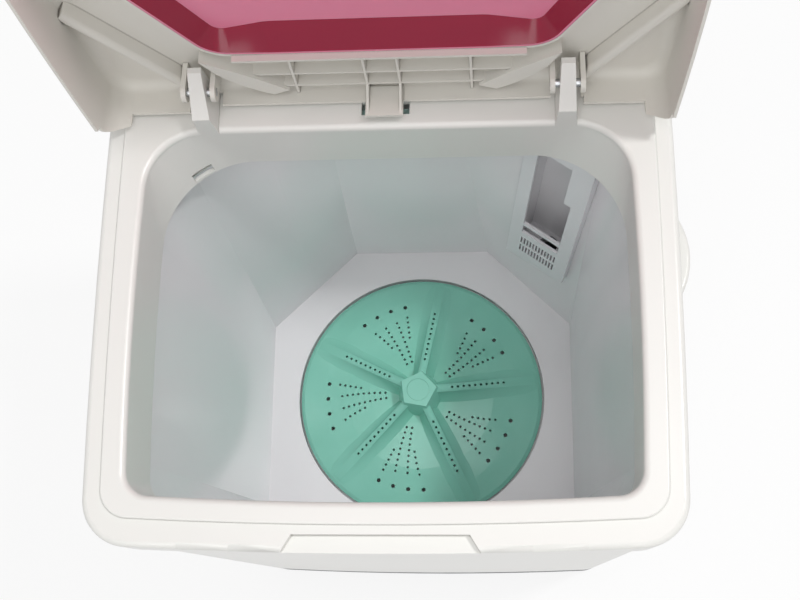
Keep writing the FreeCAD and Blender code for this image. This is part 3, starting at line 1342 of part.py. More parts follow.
def cabinet():
    room = cabinet_slab(WALL, (BASE_TOP - OVERCUT, TUB_TOP + OVERCUT))
    shell = cabinet_slab(0, (BASE_TOP, TUB_TOP)).cut(room)
    flange = cabinet_slab(WALL / 2, (TUB_TOP - WALL, TUB_TOP))
    flange = flange.cut(cabinet_slab(WALL + CABINET_FLANGE, (TUB_TOP - WALL - OVERCUT, TUB_TOP + OVERCUT)))
    hatch = box(HATCH[0], (CABINET_BACK - WALL * 2, BACK_Y), HATCH[1])
    cuts = [hatch, outlet_bar(DRAIN_OUTER + FIT, (CABINET_HALF - GRIP_PROUD, BODY_HALF)),
            gland_bar(GLAND_RADIUS - GLAND_REACH, (CABINET_BACK - WALL * 2, BACK_Y))]
    for place in cover_screw_places():
        start = place - BACKWARD * (WALL * 2)
        cuts.append(Part.makeCylinder(COVER_SCREW_SHANK + TOUCH, WALL * 4, start, BACKWARD))
    return joined(shell, flange).cut(Part.makeCompound(cuts))


def back_cover():
    x = (HATCH[0][0] - COVER_LAP, HATCH[0][1] + COVER_LAP)
    z = (HATCH[1][0] - COVER_LAP, HATCH[1][1] + COVER_LAP)
    plate = box(x, (CABINET_BACK, CABINET_BACK + COVER_SHEET), z)
    corners = [e for e in plate.Edges if e.BoundBox.XLength < TOUCH and e.BoundBox.ZLength < TOUCH]
    plate = plate.makeFillet(COVER_CORNER, corners)
    cuts = []
    for k in range(LOUVRES):
        low = HATCH_LOW + LOUVRE_PITCH * (k + 1)
        for side in (-1, 1):
            middle = side * HATCH_WIDTH / 4
            across = (middle - LOUVRE_WIDTH / 2, middle + LOUVRE_WIDTH / 2)
            cuts.append(box(across, (CABINET_BACK - OVERCUT, BACK_Y), (low, low + LOUVRE_HEIGHT)))
    for place in cover_screw_places():
        cuts.append(Part.makeCylinder(COVER_SCREW_SHANK + TOUCH, COVER_SHEET * 2, place, BACKWARD))
    return plate.cut(Part.makeCompound(cuts))


def cover_screw(place):
    seat = place + BACKWARD * COVER_SHEET
    head = Part.makeCylinder(COVER_SCREW_HEAD, COVER_SCREW_THICK, seat, BACKWARD)
    tip = seat - BACKWARD * COVER_SCREW_LENGTH
    shank = Part.makeCylinder(COVER_SCREW_SHANK, COVER_SCREW_LENGTH, tip, BACKWARD)
    return joined(head, shank)


def cord_gland():
    collar = gland_bar(GLAND_RADIUS, (CABINET_BACK, CABINET_BACK + GLAND_REACH))
    inner = gland_bar(GLAND_RADIUS, (CABINET_BACK - WALL - GLAND_REACH, CABINET_BACK - WALL))
    neck = gland_bar(GLAND_RADIUS - GLAND_REACH - TOUCH, (CABINET_BACK - WALL, CABINET_BACK))
    return joined(collar, inner, neck).cut(gland_bar(GLAND_BORE, (CABINET_BACK - WALL * 4, BACK_Y)))


def grip_block(inset, z):
    """Bulge of a hand grip seen from above: a shallow arc standing off the right side."""
    reach = CABINET_HALF + GRIP_PROUD - inset
    root = CABINET_HALF - GRIP_PROUD
    half = GRIP_LENGTH / 2 - inset
    low = Vec(CABINET_HALF - SIDE_BOW, GRIP_Y - half, z[0])
    high = Vec(CABINET_HALF - SIDE_BOW, GRIP_Y + half, z[0])
    edges = [arc(low, Vec(reach, GRIP_Y, z[0]), high), Part.makeLine(high, Vec(root, GRIP_Y + half, z[0])),
             Part.makeLine(Vec(root, GRIP_Y + half, z[0]), Vec(root, GRIP_Y - half, z[0])),
             Part.makeLine(Vec(root, GRIP_Y - half, z[0]), low)]
    return Part.Face(Part.Wire(edges)).extrude(UP * (z[1] - z[0]))


def side_grip():
    top = DECK_Z - GRIP_DROP
    low = top - GRIP_HEIGHT
    outer = grip_block(0, (low, top))
    outer = outer.makeFillet(WALL, level_edges(outer, top))
    hollow = grip_block(WALL, (low - OVERCUT, top - WALL))
    return outer.cut(hollow).cut(cabinet_slab(0, (low - WALL * 2, top + WALL)))


# Drain: elbow hose, valve with plunger and spring, pull rod, lower hose and outlet

VALVE_LOW = TUB_FLOOR - VALVE_DROP
VALVE_TOP = VALVE_LOW + VALVE_HEIGHT
VALVE_SEAT = VALVE_LOW + VALVE_FLOOR
INLET_LEVEL = VALVE_LOW + VALVE_INLET_RISE
PLUNGER_TOP = VALVE_SEAT + FIT + PLUNGER_THICK
CAP_TOP = VALVE_TOP + VALVE_FLOOR
STEM_TOP = CAP_TOP + SPIGOT_LENGTH + PLUNGER_THICK
VALVE_MOUTH_Y = VALVE_Y - VALVE_RADIUS - SPIGOT_LENGTH


def valve_body():
    cup = rod(VALVE, (VALVE_LOW, VALVE_TOP), VALVE_RADIUS)
    mouth = Vec(VALVE[0], VALVE_MOUTH_Y, INLET_LEVEL)
    inlet = Part.makeCylinder(DRAIN_OUTER, VALVE_RADIUS + SPIGOT_LENGTH, mouth, BACKWARD)
    outlet = rod(VALVE, (VALVE_LOW - SPIGOT_LENGTH, VALVE_LOW), DRAIN_OUTER)
    inlet_bore = Part.makeCylinder(DRAIN_BORE, VALVE_RADIUS + SPIGOT_LENGTH + OVERCUT,
                                   Vec(VALVE[0], VALVE_MOUTH_Y - OVERCUT, INLET_LEVEL), BACKWARD)
    room = rod(VALVE, (VALVE_SEAT, VALVE_TOP + OVERCUT), VALVE_RADIUS - WALL)
    outlet_bore = rod(VALVE, (VALVE_LOW - SPIGOT_LENGTH - OVERCUT, VALVE_TOP), DRAIN_BORE)
    return joined(cup, inlet, outlet).cut(room).cut(Part.makeCompound([inlet_bore, outlet_bore]))


def drain_plunger():
    seal = cone(VALVE, (VALVE_SEAT + FIT, PLUNGER_TOP), PLUNGER_RADIUS - PLUNGER_TAPER, PLUNGER_RADIUS)
    return joined(seal, rod(VALVE, (PLUNGER_TOP, STEM_TOP), STEM_RADIUS))


def valve_spring():
    """Coil between the plunger and the valve cap."""
    low = PLUNGER_TOP + SPRING_WIRE + FIT
    high = VALVE_TOP - SPRING_WIRE - FIT
    path = Part.makeHelix((high - low) / SPRING_TURNS, high - low, SPRING_RADIUS)
    turns = [math.tau / SPRING_SIDES * k for k in range(SPRING_SIDES)]
    points = [Vec(SPRING_RADIUS + SPRING_WIRE * math.cos(t), 0, SPRING_WIRE * math.sin(t)) for t in turns]
    section = Part.makePolygon(points + points[:1])
    coil = Part.Wire(path).makePipeShell([section], True, True)
    return coil.translated(Vec(*VALVE, low))


def hose(points, bore, wall, bend):
    ends = [points[0] + (points[0] - points[1]).normalize() * OVERCUT] + points[1:-1]
    ends.append(points[-1] + (points[-1] - points[-2]).normalize() * OVERCUT)
    return bent_rod(points, bore + wall, bend).cut(bent_rod(ends, bore, bend))


def drain_elbow():
    top = DRAIN_TOP.z - WALL - SPIGOT_LENGTH + HOSE_GRIP
    points = [Vec(*DRAIN_LINE, top), Vec(*DRAIN_LINE, INLET_LEVEL),
              Vec(DRAIN_LINE[0], VALVE_MOUTH_Y + HOSE_GRIP, INLET_LEVEL)]
    return hose(points, DRAIN_OUTER + HOSE_PLAY, HOSE_WALL, HOSE_BEND)


OUTLET_INNER = CABINET_HALF - SIDE_BOW - WALL - SPIGOT_LENGTH


def drain_hose():
    points = [Vec(*VALVE, VALVE_LOW - SPIGOT_LENGTH + HOSE_GRIP), Vec(*VALVE, OUTLET_HEIGHT),
              Vec(OUTLET_INNER + HOSE_GRIP, VALVE_Y, OUTLET_HEIGHT)]
    return hose(points, DRAIN_OUTER + HOSE_PLAY, HOSE_WALL, HOSE_BEND)


def drain_outlet():
    reach = CABINET_HALF + GRIP_PROUD - OVERCUT
    flange = outlet_bar(OUTLET_FLANGE, (CABINET_HALF - GRIP_PROUD, CABINET_HALF + WALL / 2))
    flange = flange.cut(cabinet_slab(0, (BASE_TOP, TUB_TOP)))
    tube = outlet_bar(DRAIN_OUTER, (OUTLET_INNER, reach))
    return joined(flange, tube).cut(outlet_bar(DRAIN_BORE, (OUTLET_INNER - OVERCUT, reach + OVERCUT)))


# Console: housing with a leaning face, a panel, three knobs and what they turn

CONSOLE_BACK = BACK_Y - WALL * 2
FACE_LOW = (CONSOLE_FRONT + CONSOLE_STEP_BACK, DECK_Z + CONSOLE_STEP_RISE)
FACE_HIGH = (FACE_LOW[0] + CONSOLE_LEAN, DECK_Z + CONSOLE_TOP)
FACE_MIDDLE = Vec(0, (FACE_LOW[0] + FACE_HIGH[0]) / 2, (FACE_LOW[1] + FACE_HIGH[1]) / 2)
FACE_LEAN = math.degrees(math.atan2(FACE_HIGH[0] - FACE_LOW[0], FACE_HIGH[1] - FACE_LOW[1]))
DRAIN_KNOB_X = VALVE[0]
HOSE_LEVEL = DECK_Z - INLET_DROP
RISER = spout_place(Part.Vertex(0, RISER_BACK, 0)).Point
NIPPLE = (RISER.x, CONSOLE_BACK - WALL - NIPPLE_RADIUS - FIT)


def on_panel(shape, x=0):
    """Carries a shape drawn with x across, y up and z outwards to the console's leaning face."""
    moved = shape.copy()
    moved.Placement = FreeCAD.Placement(FACE_MIDDLE + ACROSS * x, FreeCAD.Rotation(ACROSS, 90 - FACE_LEAN))
    return moved


def console_outline(inset):
    top = DECK_Z + CONSOLE_HEIGHT - inset
    floor = DECK_Z - (OVERCUT if inset else 0)
    return [(CONSOLE_FRONT + inset, floor), (CONSOLE_FRONT + inset, DECK_Z + CONSOLE_STEP - inset / 2),
            (FACE_LOW[0] + inset, FACE_LOW[1] - inset / 2), (FACE_HIGH[0] + inset, FACE_HIGH[1] - inset / 2),
            (FACE_HIGH[0] + CONSOLE_TOP_BACK + inset / 2, top), (CONSOLE_BACK - inset, top),
            (CONSOLE_BACK - inset, floor)]


def console_housing():
    outer = prism_x(console_outline(0), (-CONSOLE_HALF, CONSOLE_HALF))
    ends = [e for e in outer.Edges if abs(abs(e.CenterOfMass.x) - CONSOLE_HALF) < TOUCH
            and e.CenterOfMass.z > DECK_Z + TOUCH]
    outer = outer.makeFillet(CONSOLE_END_ROUND / 2, ends)
    inner = prism_x(console_outline(WALL), (WALL - CONSOLE_HALF, CONSOLE_HALF - WALL))
    face = (-PANEL_TALL / 2, PANEL_TALL / 2)
    cuts = [on_panel(box((-PANEL_HALF, PANEL_HALF), face, (-PANEL_SHEET, OVERCUT)))]
    for x in (TIMER_X, SWITCH_X, DRAIN_KNOB_X):
        cuts.append(on_panel(rod((0, 0), (-WALL * 3, OVERCUT), SPINDLE_HOLE), x))
    top = DECK_Z + CONSOLE_HEIGHT
    cuts.append(rod(NIPPLE, (top - WALL * 2, top + OVERCUT), NIPPLE_TAIL + FIT))
    return outer.cut(inner).cut(Part.makeCompound(cuts))


def console_panel():
    half = PANEL_HALF - FIT
    rise = PANEL_TALL / 2 - FIT
    plate = on_panel(box((-half, half), (-rise, rise), (-PANEL_SHEET, 0)))
    hole = rod((0, 0), (-PANEL_SHEET * 2, OVERCUT), SPINDLE_HOLE)
    holes = [on_panel(hole, x) for x in (TIMER_X, SWITCH_X, DRAIN_KNOB_X)]
    return plate.cut(Part.makeCompound(holes))


def knob(x, spindle):
    """Round knob with a skirt and a grip bar, on a spindle through the panel."""
    skirt = rod((0, 0), (KNOB_GAP, KNOB_GAP + KNOB_SKIRT), KNOB_RADIUS)
    skirt = skirt.makeFillet(KNOB_SKIRT / 3, level_edges(skirt, KNOB_GAP + KNOB_SKIRT))
    foot = KNOB_GAP + KNOB_SKIRT
    drum_radius = KNOB_RADIUS - KNOB_SKIRT
    drum = cone((0, 0), (foot, KNOB_HEIGHT - KNOB_SKIRT), drum_radius, drum_radius - KNOB_SKIRT / 2)
    grip = box((-KNOB_GRIP / 2, KNOB_GRIP / 2), (-drum_radius, drum_radius), (foot, KNOB_HEIGHT))
    grip = grip.makeFillet(KNOB_GRIP / 4, level_edges(grip, KNOB_HEIGHT))
    return on_panel(joined(skirt, drum, grip, rod((0, 0), (-spindle, KNOB_GAP), SPINDLE_RADIUS)), x)


def control_body(x, width, tall, deep):
    """Block behind the panel, bored for its knob's spindle."""
    face = -WALL - FIT
    reach = width / 2 + CONTROL_EAR
    block = box((-width / 2, width / 2), (-tall / 2, tall / 2), (face - deep, face))
    ears = box((-reach, reach), (-CONTROL_EAR / 2, CONTROL_EAR / 2), (face - RIB, face))
    bore = rod((0, 0), (face - deep, face), SPINDLE_RADIUS + SHAFT_PLAY)
    return on_panel(joined(block, ears).cut(bore), x)


CRANK_Z = -WALL - FIT * 4 - CRANK_THICK
PIN_ANGLE = -CRANK_TURN / 2


def drain_crank():
    bore = rod((0, 0), (CRANK_Z - OVERCUT, 0), SPINDLE_RADIUS)
    disc = rod((0, 0), (CRANK_Z, CRANK_Z + CRANK_THICK), CRANK_DISC).cut(bore)
    turn = math.radians(PIN_ANGLE)
    place = (CRANK_RADIUS * math.cos(turn), CRANK_RADIUS * math.sin(turn))
    pin = rod(place, (CRANK_Z - CRANK_PIN_LENGTH, CRANK_Z), CRANK_PIN)
    return on_panel(joined(disc, pin), DRAIN_KNOB_X)


def pull_rod():
    """Bent rod from the crank's yoke down to the valve stem."""
    turn = math.radians(PIN_ANGLE)
    pin = (CRANK_RADIUS * math.cos(turn), CRANK_RADIUS * math.sin(turn))
    slot_x = (pin[0] - CRANK_PIN - YOKE_GAP, CRANK_RADIUS + CRANK_PIN + YOKE_GAP)
    slot_y = (pin[1] - CRANK_PIN - YOKE_GAP, pin[1] + CRANK_PIN + YOKE_GAP)
    z = (CRANK_Z - YOKE_BACK - YOKE_THICK, CRANK_Z - YOKE_BACK)
    plate = box((-YOKE_RIM, slot_x[1] + YOKE_RIM), (slot_y[0] - YOKE_RIM, slot_y[1] + YOKE_RIM), z)
    yoke = on_panel(plate.cut(box(slot_x, slot_y, (z[0] - OVERCUT, z[1] + OVERCUT))), DRAIN_KNOB_X)
    top = on_panel(Part.Vertex(0, slot_y[0] - YOKE_RIM / 2, (z[0] + z[1]) / 2), DRAIN_KNOB_X).Point
    points = [top, Vec(top.x, top.y, DECK_Z - ROD_JOG),
              Vec(*VALVE, DECK_Z - ROD_JOG - ROD_JOG_DROP), Vec(*VALVE, STEM_TOP)]
    return joined(bent_rod(points, ROD_RADIUS, ROD_BEND), yoke)


# Water inlet: nipple on the console, hose under the deck and a flat spout behind the skirt

def inlet_nipple():
    top = DECK_Z + CONSOLE_HEIGHT
    collar = rod(NIPPLE, (top, top + NIPPLE_COLLAR), NIPPLE_RADIUS)
    neck = rod(NIPPLE, (top - WALL - NIPPLE_TAIL_LENGTH, top + NIPPLE_HEIGHT), NIPPLE_TAIL)
    bore = rod(NIPPLE, (DECK_Z, top + NIPPLE_HEIGHT + OVERCUT), NIPPLE_BORE)
    return joined(collar, neck).cut(bore)


def inlet_spout():
    """Open-fronted nozzle behind the skirt's hole, with a riser and a stub for the hose."""
    near = WALL + SPOUT_STANDOFF
    half = SPOUT_WIDTH / 2
    nozzle = box((-half, half), (near, near + SPOUT_DEEP), (SPOUT_WALL, SPOUT_HEIGHT))
    room = box((SPOUT_WALL - half, half - SPOUT_WALL), (near - OVERCUT, near + SPOUT_DEEP - SPOUT_WALL),
               (SPOUT_WALL * 2, SPOUT_HEIGHT - SPOUT_WALL))
    riser = rod((RISER.x, RISER.y), (SKIRT_Z + SPOUT_HEIGHT - SPOUT_WALL, HOSE_LEVEL), RISER_RADIUS)
    stub = Part.makeCylinder(NIPPLE_TAIL, STUB_LENGTH, Vec(RISER.x, RISER.y, HOSE_LEVEL), BACKWARD)
    climb = rod((RISER.x, RISER.y), (SKIRT_Z + SPOUT_HEIGHT - SPOUT_WALL * 3, HOSE_LEVEL), RISER_BORE)
    mouth = Vec(RISER.x, RISER.y + SPOUT_WALL, HOSE_LEVEL)
    bore = Part.makeCylinder(NIPPLE_BORE, STUB_LENGTH, mouth, BACKWARD)
    return joined(spout_place(nozzle), riser, stub).cut(spout_place(room)).cut(joined(climb, bore))


def inlet_hose():
    start = Vec(RISER.x, RISER.y + STUB_LENGTH - HOSE_GRIP / 2, HOSE_LEVEL)
    end = Vec(*NIPPLE, DECK_Z + CONSOLE_HEIGHT - WALL - NIPPLE_TAIL_LENGTH + HOSE_GRIP)
    return hose([start, Vec(*NIPPLE, HOSE_LEVEL), end], NIPPLE_TAIL + HOSE_PLAY, INLET_HOSE_WALL, INLET_BEND)


# Every piece, written to its own file
save("top_frame", top_frame())
save("lid_frame", lid_frame())
save("lid_window", lid_window())
save("hinge_pins", *hinge_pins())
save("wash_tub", wash_tub())
save("filter_cover", filter_cover())
save("pulsator", pulsator())
save("pulsator_shaft", pulsator_shaft())
save("pulsator_screw", pulsator_screw())
save("pulsator_cap", pulsator_cap())
save("bearing_housing", bearing_housing())
save("shaft_bushes", bush_at(HOUSING_LOW), bush_at(NECK_TOP - SEAL_THICK - BUSH_LENGTH))
save("shaft_seal", ring(AXIS, (NECK_TOP - SEAL_THICK, NECK_TOP), SEAT_RADIUS, SHAFT_RADIUS + SHAFT_PLAY))
save("housing_gasket", ring(AXIS, (HOUSING_TOP, WELL_UNDER), HOUSING_FLANGE, NECK_RADIUS + FIT))
save("housing_nut", housing_nut())
save("pulley_nut", pulley_nut())
save("drive_pulley", pulley(AXIS, DRIVE_PITCH, SHAFT_RADIUS))
save("motor_pulley", pulley(MOTOR, MOTOR_PITCH, MOTOR_SHAFT_RADIUS))
save("drive_belt", drive_belt())
save("motor_body", motor_body())
save("motor_shaft", rod(MOTOR, (MOTOR_SHAFT_LOW, MOTOR_SHAFT_TOP), MOTOR_SHAFT_RADIUS))
save("motor_bushes", *[motor_bush(place) for place in ear_places()])
save("motor_bolts", *[motor_bolt(place) for place in ear_places()])
save("capacitor", capacitor())
save("capacitor_clamp", capacitor_clamp())
save("base", base())
save("feet", *[foot(place) for place in foot_places()])
save("cabinet", cabinet())
save("back_cover", back_cover())
save("back_cover_screws", *[cover_screw(place) for place in cover_screw_places()])
save("cord_gland", cord_gland())
save("side_grip_right", side_grip())
save("side_grip_left", mirrored(side_grip()))
save("drain_valve_body", valve_body())
save("drain_valve_cap", ring(VALVE, (VALVE_TOP, CAP_TOP), VALVE_RADIUS, STEM_RADIUS + STEM_PLAY))
save("drain_plunger", drain_plunger())
save("drain_valve_spring", valve_spring())
save("drain_elbow", drain_elbow())
save("drain_hose", drain_hose())
save("drain_outlet", drain_outlet())
save("console_housing", console_housing())
save("console_panel", console_panel())
save("timer_knob", knob(TIMER_X, WALL + TIMER_DEEP - RIB))
save("wash_selector_knob", knob(SWITCH_X, WALL + SWITCH_DEEP - RIB))
save("drain_selector_knob", knob(DRAIN_KNOB_X, -CRANK_Z))
save("wash_timer", control_body(TIMER_X, TIMER_WIDTH, TIMER_TALL, TIMER_DEEP))
save("wash_selector_switch", control_body(SWITCH_X, SWITCH_WIDTH, SWITCH_TALL, SWITCH_DEEP))
save("drain_crank", drain_crank())
save("drain_pull_rod", pull_rod())
save("inlet_nipple", inlet_nipple())
save("inlet_hose", inlet_hose())
save("inlet_spout", inlet_spout())
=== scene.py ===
import json
import math

import bmesh
import bpy
from mathutils import Matrix, Vector


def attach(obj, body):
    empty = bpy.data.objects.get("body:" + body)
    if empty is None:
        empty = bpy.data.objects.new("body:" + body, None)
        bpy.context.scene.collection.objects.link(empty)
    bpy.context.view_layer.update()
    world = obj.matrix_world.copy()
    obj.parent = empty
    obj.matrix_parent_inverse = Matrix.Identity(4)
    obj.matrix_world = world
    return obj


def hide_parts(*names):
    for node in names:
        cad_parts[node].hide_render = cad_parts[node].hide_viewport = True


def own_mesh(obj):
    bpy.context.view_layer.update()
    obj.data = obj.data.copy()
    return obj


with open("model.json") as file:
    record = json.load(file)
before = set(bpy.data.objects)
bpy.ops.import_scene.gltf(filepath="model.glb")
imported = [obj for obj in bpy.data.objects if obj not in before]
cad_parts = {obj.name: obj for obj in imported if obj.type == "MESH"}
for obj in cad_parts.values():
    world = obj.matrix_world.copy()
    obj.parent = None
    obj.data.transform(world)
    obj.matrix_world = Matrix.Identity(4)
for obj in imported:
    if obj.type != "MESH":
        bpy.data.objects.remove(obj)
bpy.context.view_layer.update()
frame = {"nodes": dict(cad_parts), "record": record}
nodes = frame["nodes"]

MM = 0.001
WELD = 1e-6

# Camera: where the photograph was taken from, above the front edge and a little to the right
CAMERA_PLACE = Vector((0.0930, -0.2698, 1.5831))
CAMERA_AIM = Vector((0.0297, -0.0374, 0.720))
CAMERA_ROLL = math.radians(15.43)
CAMERA_LENS = 51.03
CAMERA_SHIFT = -0.025
CAMERA_REACH = 20.0

# Studio: weak light all round, a softbox overhead, a smaller lamp from the right and a fill from the front
WHITE = "#FFFFFF"
SKY_LEVEL = 0.47
LAMPS = {
    # name: (place, aim, size, power in watts)
    "softbox": ((0.0, -0.3, 3.2), (0.0, 0.0, 0.3), 1.4, 10.5),
    "key": ((1.6, 0.35, 3.9), (0.0, -0.05, 0.5), 0.35, 50.0),
    "fill": ((-0.2, -1.9, 2.6), (0.0, 0.1, 0.8), 1.4, 16.0),
}

# Floor: half its width, its colour and gloss, and the share of plain white that is seen over its shadow
FLOOR_REACH = 6.0
FLOOR_COLOUR = "#F4F4F4"
FLOOR_ROUGH = 0.8
FLOOR_WHITE = 0.85

# Refractive index of each plastic and coating
ABS, POLYPROPYLENE, ACRYLIC, POLYCARBONATE = 1.54, 1.49, 1.49, 1.58
RUBBER, PVC, NYLON, ENAMEL, PHENOLIC = 1.52, 1.53, 1.53, 1.5, 1.55

# Patterns: steps of detail in blotches and in grains, and the middle part of the noise that is used
BLOTCH_DETAIL, GRAIN_DETAIL = 3.0, 2.0
NOISE_LOW, NOISE_HIGH = 0.3, 0.7

# Painted shade in hollows: how open a hollow is where it is painted fully dark and where it is left plain
SHADE_FULL, SHADE_NONE = 0.25, 0.75
SHADE_SAMPLES = 8

# Drawn metal: width in millimetres of the lines in its colour and in its gloss
COLOUR_LINES, GLOSS_LINES = 2.0, 3.0

# Lid window: the way the lid's top faces while it stands open, and how squarely the sheet faces that way
# where it turns down at the edge and where it is flat
LID_TURN = math.radians(-94.4)
LID_FACING = (0.0, -math.sin(LID_TURN), math.cos(LID_TURN))
WINDOW_TURNED, WINDOW_FLAT = 0.93, 0.985
# Colour of the painted shade on the window's turned-down edge, and the milky pink of the flat sheet
WINDOW_SHADE, WINDOW_MILKY = "#A4083A", "#FF9DBC"
WINDOW_CLEAR, WINDOW_SPECULAR = 0.25, 0.35
WINDOW_ROUGH, WINDOW_BLOTCH = (0.16, 0.24), 40.0
WINDOW_WAVES = ((30.0, 0.02),)

# Control panel: middle of its face, lean, and the dots on it and on its knobs, in millimetres
PANEL_MIDDLE = Vector((0.0, 0.199, 0.785))
PANEL_SETBACK, PANEL_HEIGHT = 10.0, 78.0
PANEL_LEAN = math.atan2(PANEL_SETBACK, PANEL_HEIGHT)
MARK_RING, MARK_SIZE = 28.0, 1.3
POINTER_RISE, POINTER_SIZE = 15.0, 1.6
DOT_INK = "#4B4F55"
DIALS = (
    # place along the panel, first and last mark in degrees from the top, number of marks
    (-130.0, 0.0, 330.0, 12),
    (10.0, -45.0, 45.0, 3),
    (146.588, -90.0, 0.0, 2),
)


def linear(hex_colour):
    """sRGB hex value as linear red, green, blue and alpha."""
    parts = [int(hex_colour[k:k + 2], 16) / 255 for k in (1, 3, 5)]
    return [c / 12.92 if c <= 0.04045 else ((c + 0.055) / 1.055) ** 2.4 for c in parts] + [1.0]


def per_mm(size):
    """Texture scale that gives a pattern of this size in millimetres."""
    return 1.0 / (size * MM)


def add(tree, kind, inputs=None, **settings):
    """Adds a node with its settings, input values and links."""
    node = tree.nodes.new(kind)
    for name, value in settings.items():
        setattr(node, name, value)
    for socket, value in (inputs or {}).items():
        if isinstance(value, bpy.types.NodeSocket):
            tree.links.new(value, node.inputs[socket])
        else:
            node.inputs[socket].default_value = value
    return node


def new_material(name, **shader):
    """Material with one Principled shader; returns it, its tree, the shader and its coordinates."""
    material = bpy.data.materials.new(name)
    material.use_nodes = True
    tree = material.node_tree
    bsdf = tree.nodes["Principled BSDF"]
    for socket, value in shader.items():
        bsdf.inputs[socket.replace("_", " ")].default_value = value
    return material, tree, bsdf, add(tree, "ShaderNodeTexCoord")


def uneven(tree, place, size, low=0.0, high=1.0):
    """Value that wanders between two levels, with a typical width in millimetres."""
    noise = add(tree, "ShaderNodeTexNoise",
                {"Vector": place, "Scale": per_mm(size), "Detail": BLOTCH_DETAIL})
    spread = add(tree, "ShaderNodeMapRange",
                 {"Value": noise.outputs["Fac"], "From Min": NOISE_LOW, "From Max": NOISE_HIGH,
                  "To Min": low, "To Max": high})
    return spread.outputs["Result"]


def relief(tree, place, grains):
    """Bump of one or more grains, each given by its width and depth in millimetres."""
    normal = None
    for size, depth in grains:
        noise = add(tree, "ShaderNodeTexNoise",
                    {"Vector": place, "Scale": per_mm(size), "Detail": GRAIN_DETAIL})
        inputs = {"Height": noise.outputs["Fac"], "Distance": depth * MM, "Strength": 1.0}
        if normal:
            inputs["Normal"] = normal
        normal = add(tree, "ShaderNodeBump", inputs).outputs["Normal"]
    return normal


def shade_hollows(tree, colour, hollow_shade, reach):
    """Colour with painted shade in the grooves and inner corners, darker the more enclosed they are, for a
    groove about as wide as the reach.
    """
    hollow = add(tree, "ShaderNodeAmbientOcclusion", {"Distance": reach * MM}, samples=SHADE_SAMPLES)
    clear = add(tree, "ShaderNodeMapRange",
                {"Value": hollow.outputs["AO"], "From Min": SHADE_FULL, "From Max": SHADE_NONE})
    mix = add(tree, "ShaderNodeMix",
              {"Factor": clear.outputs["Result"], "A": linear(hollow_shade), "B": colour}, data_type="RGBA")
    return mix.outputs["Result"]


def moulded(name, low, high, rough, grains, blotch=120.0, hollow_shade=None, **shader):
    """Moulded surface: faint blotches of colour, uneven gloss, fine grain and any painted shade in its
    grooves.
    """
    material, tree, bsdf, coordinates = new_material(name, **shader)
    place = coordinates.outputs["Object"]
    tint = add(tree, "ShaderNodeMix",
               {"Factor": uneven(tree, place, blotch), "A": linear(low), "B": linear(high)},
               data_type="RGBA")
    colour = tint.outputs["Result"]
    # Painted shade: grooves and inner corners are darkened by how enclosed they are
    if hollow_shade:
        colour = shade_hollows(tree, colour, *hollow_shade)
    tree.links.new(colour, bsdf.inputs["Base Color"])
    tree.links.new(uneven(tree, place, blotch / 2, *rough), bsdf.inputs["Roughness"])
    tree.links.new(relief(tree, place, grains), bsdf.inputs["Normal"])
    return material


def drawn_metal(name, low, high, rough, grains, along):
    """Bare metal with lines along the way it was drawn or rolled."""
    material, tree, bsdf, coordinates = new_material(name, Metallic=1.0)
    drawn = add(tree, "ShaderNodeMapping", {"Vector": coordinates.outputs["Object"], "Scale": along})
    lines = drawn.outputs["Vector"]
    tint = add(tree, "ShaderNodeMix",
               {"Factor": uneven(tree, lines, COLOUR_LINES), "A": linear(low), "B": linear(high)},
               data_type="RGBA")
    tree.links.new(tint.outputs["Result"], bsdf.inputs["Base Color"])
    tree.links.new(uneven(tree, lines, GLOSS_LINES, *rough), bsdf.inputs["Roughness"])
    tree.links.new(relief(tree, lines, grains), bsdf.inputs["Normal"])
    return material


def pink_acrylic():
    """Tinted acrylic sheet, vacuum formed: milky pink where it is flat, and a painted shade of deep
    magenta where the sheet turns down at the edge."""
    material, tree, bsdf, coordinates = new_material(
        "vacuum_formed_pink_acrylic", IOR=ACRYLIC, Specular_IOR_Level=WINDOW_SPECULAR,
        Transmission_Weight=WINDOW_CLEAR)
    facing = add(tree, "ShaderNodeVectorMath", {0: coordinates.outputs["Normal"], 1: LID_FACING},
                 operation="DOT_PRODUCT")
    flat = add(tree, "ShaderNodeMath", {0: facing.outputs["Value"]}, operation="ABSOLUTE")
    unshaded = add(tree, "ShaderNodeMapRange",
               {"Value": flat.outputs[0], "From Min": WINDOW_TURNED, "From Max": WINDOW_FLAT})
    # Painted shade: faces turned away from the flat sheet go deep magenta, the flat sheet stays milky pink
    tint = add(tree, "ShaderNodeMix",
               {"Factor": unshaded.outputs["Result"], "A": linear(WINDOW_SHADE), "B": linear(WINDOW_MILKY)},
               data_type="RGBA")
    place = coordinates.outputs["Object"]
    tree.links.new(tint.outputs["Result"], bsdf.inputs["Base Color"])
    tree.links.new(uneven(tree, place, WINDOW_BLOTCH, *WINDOW_ROUGH), bsdf.inputs["Roughness"])
    tree.links.new(relief(tree, place, WINDOW_WAVES), bsdf.inputs["Normal"])
    return material


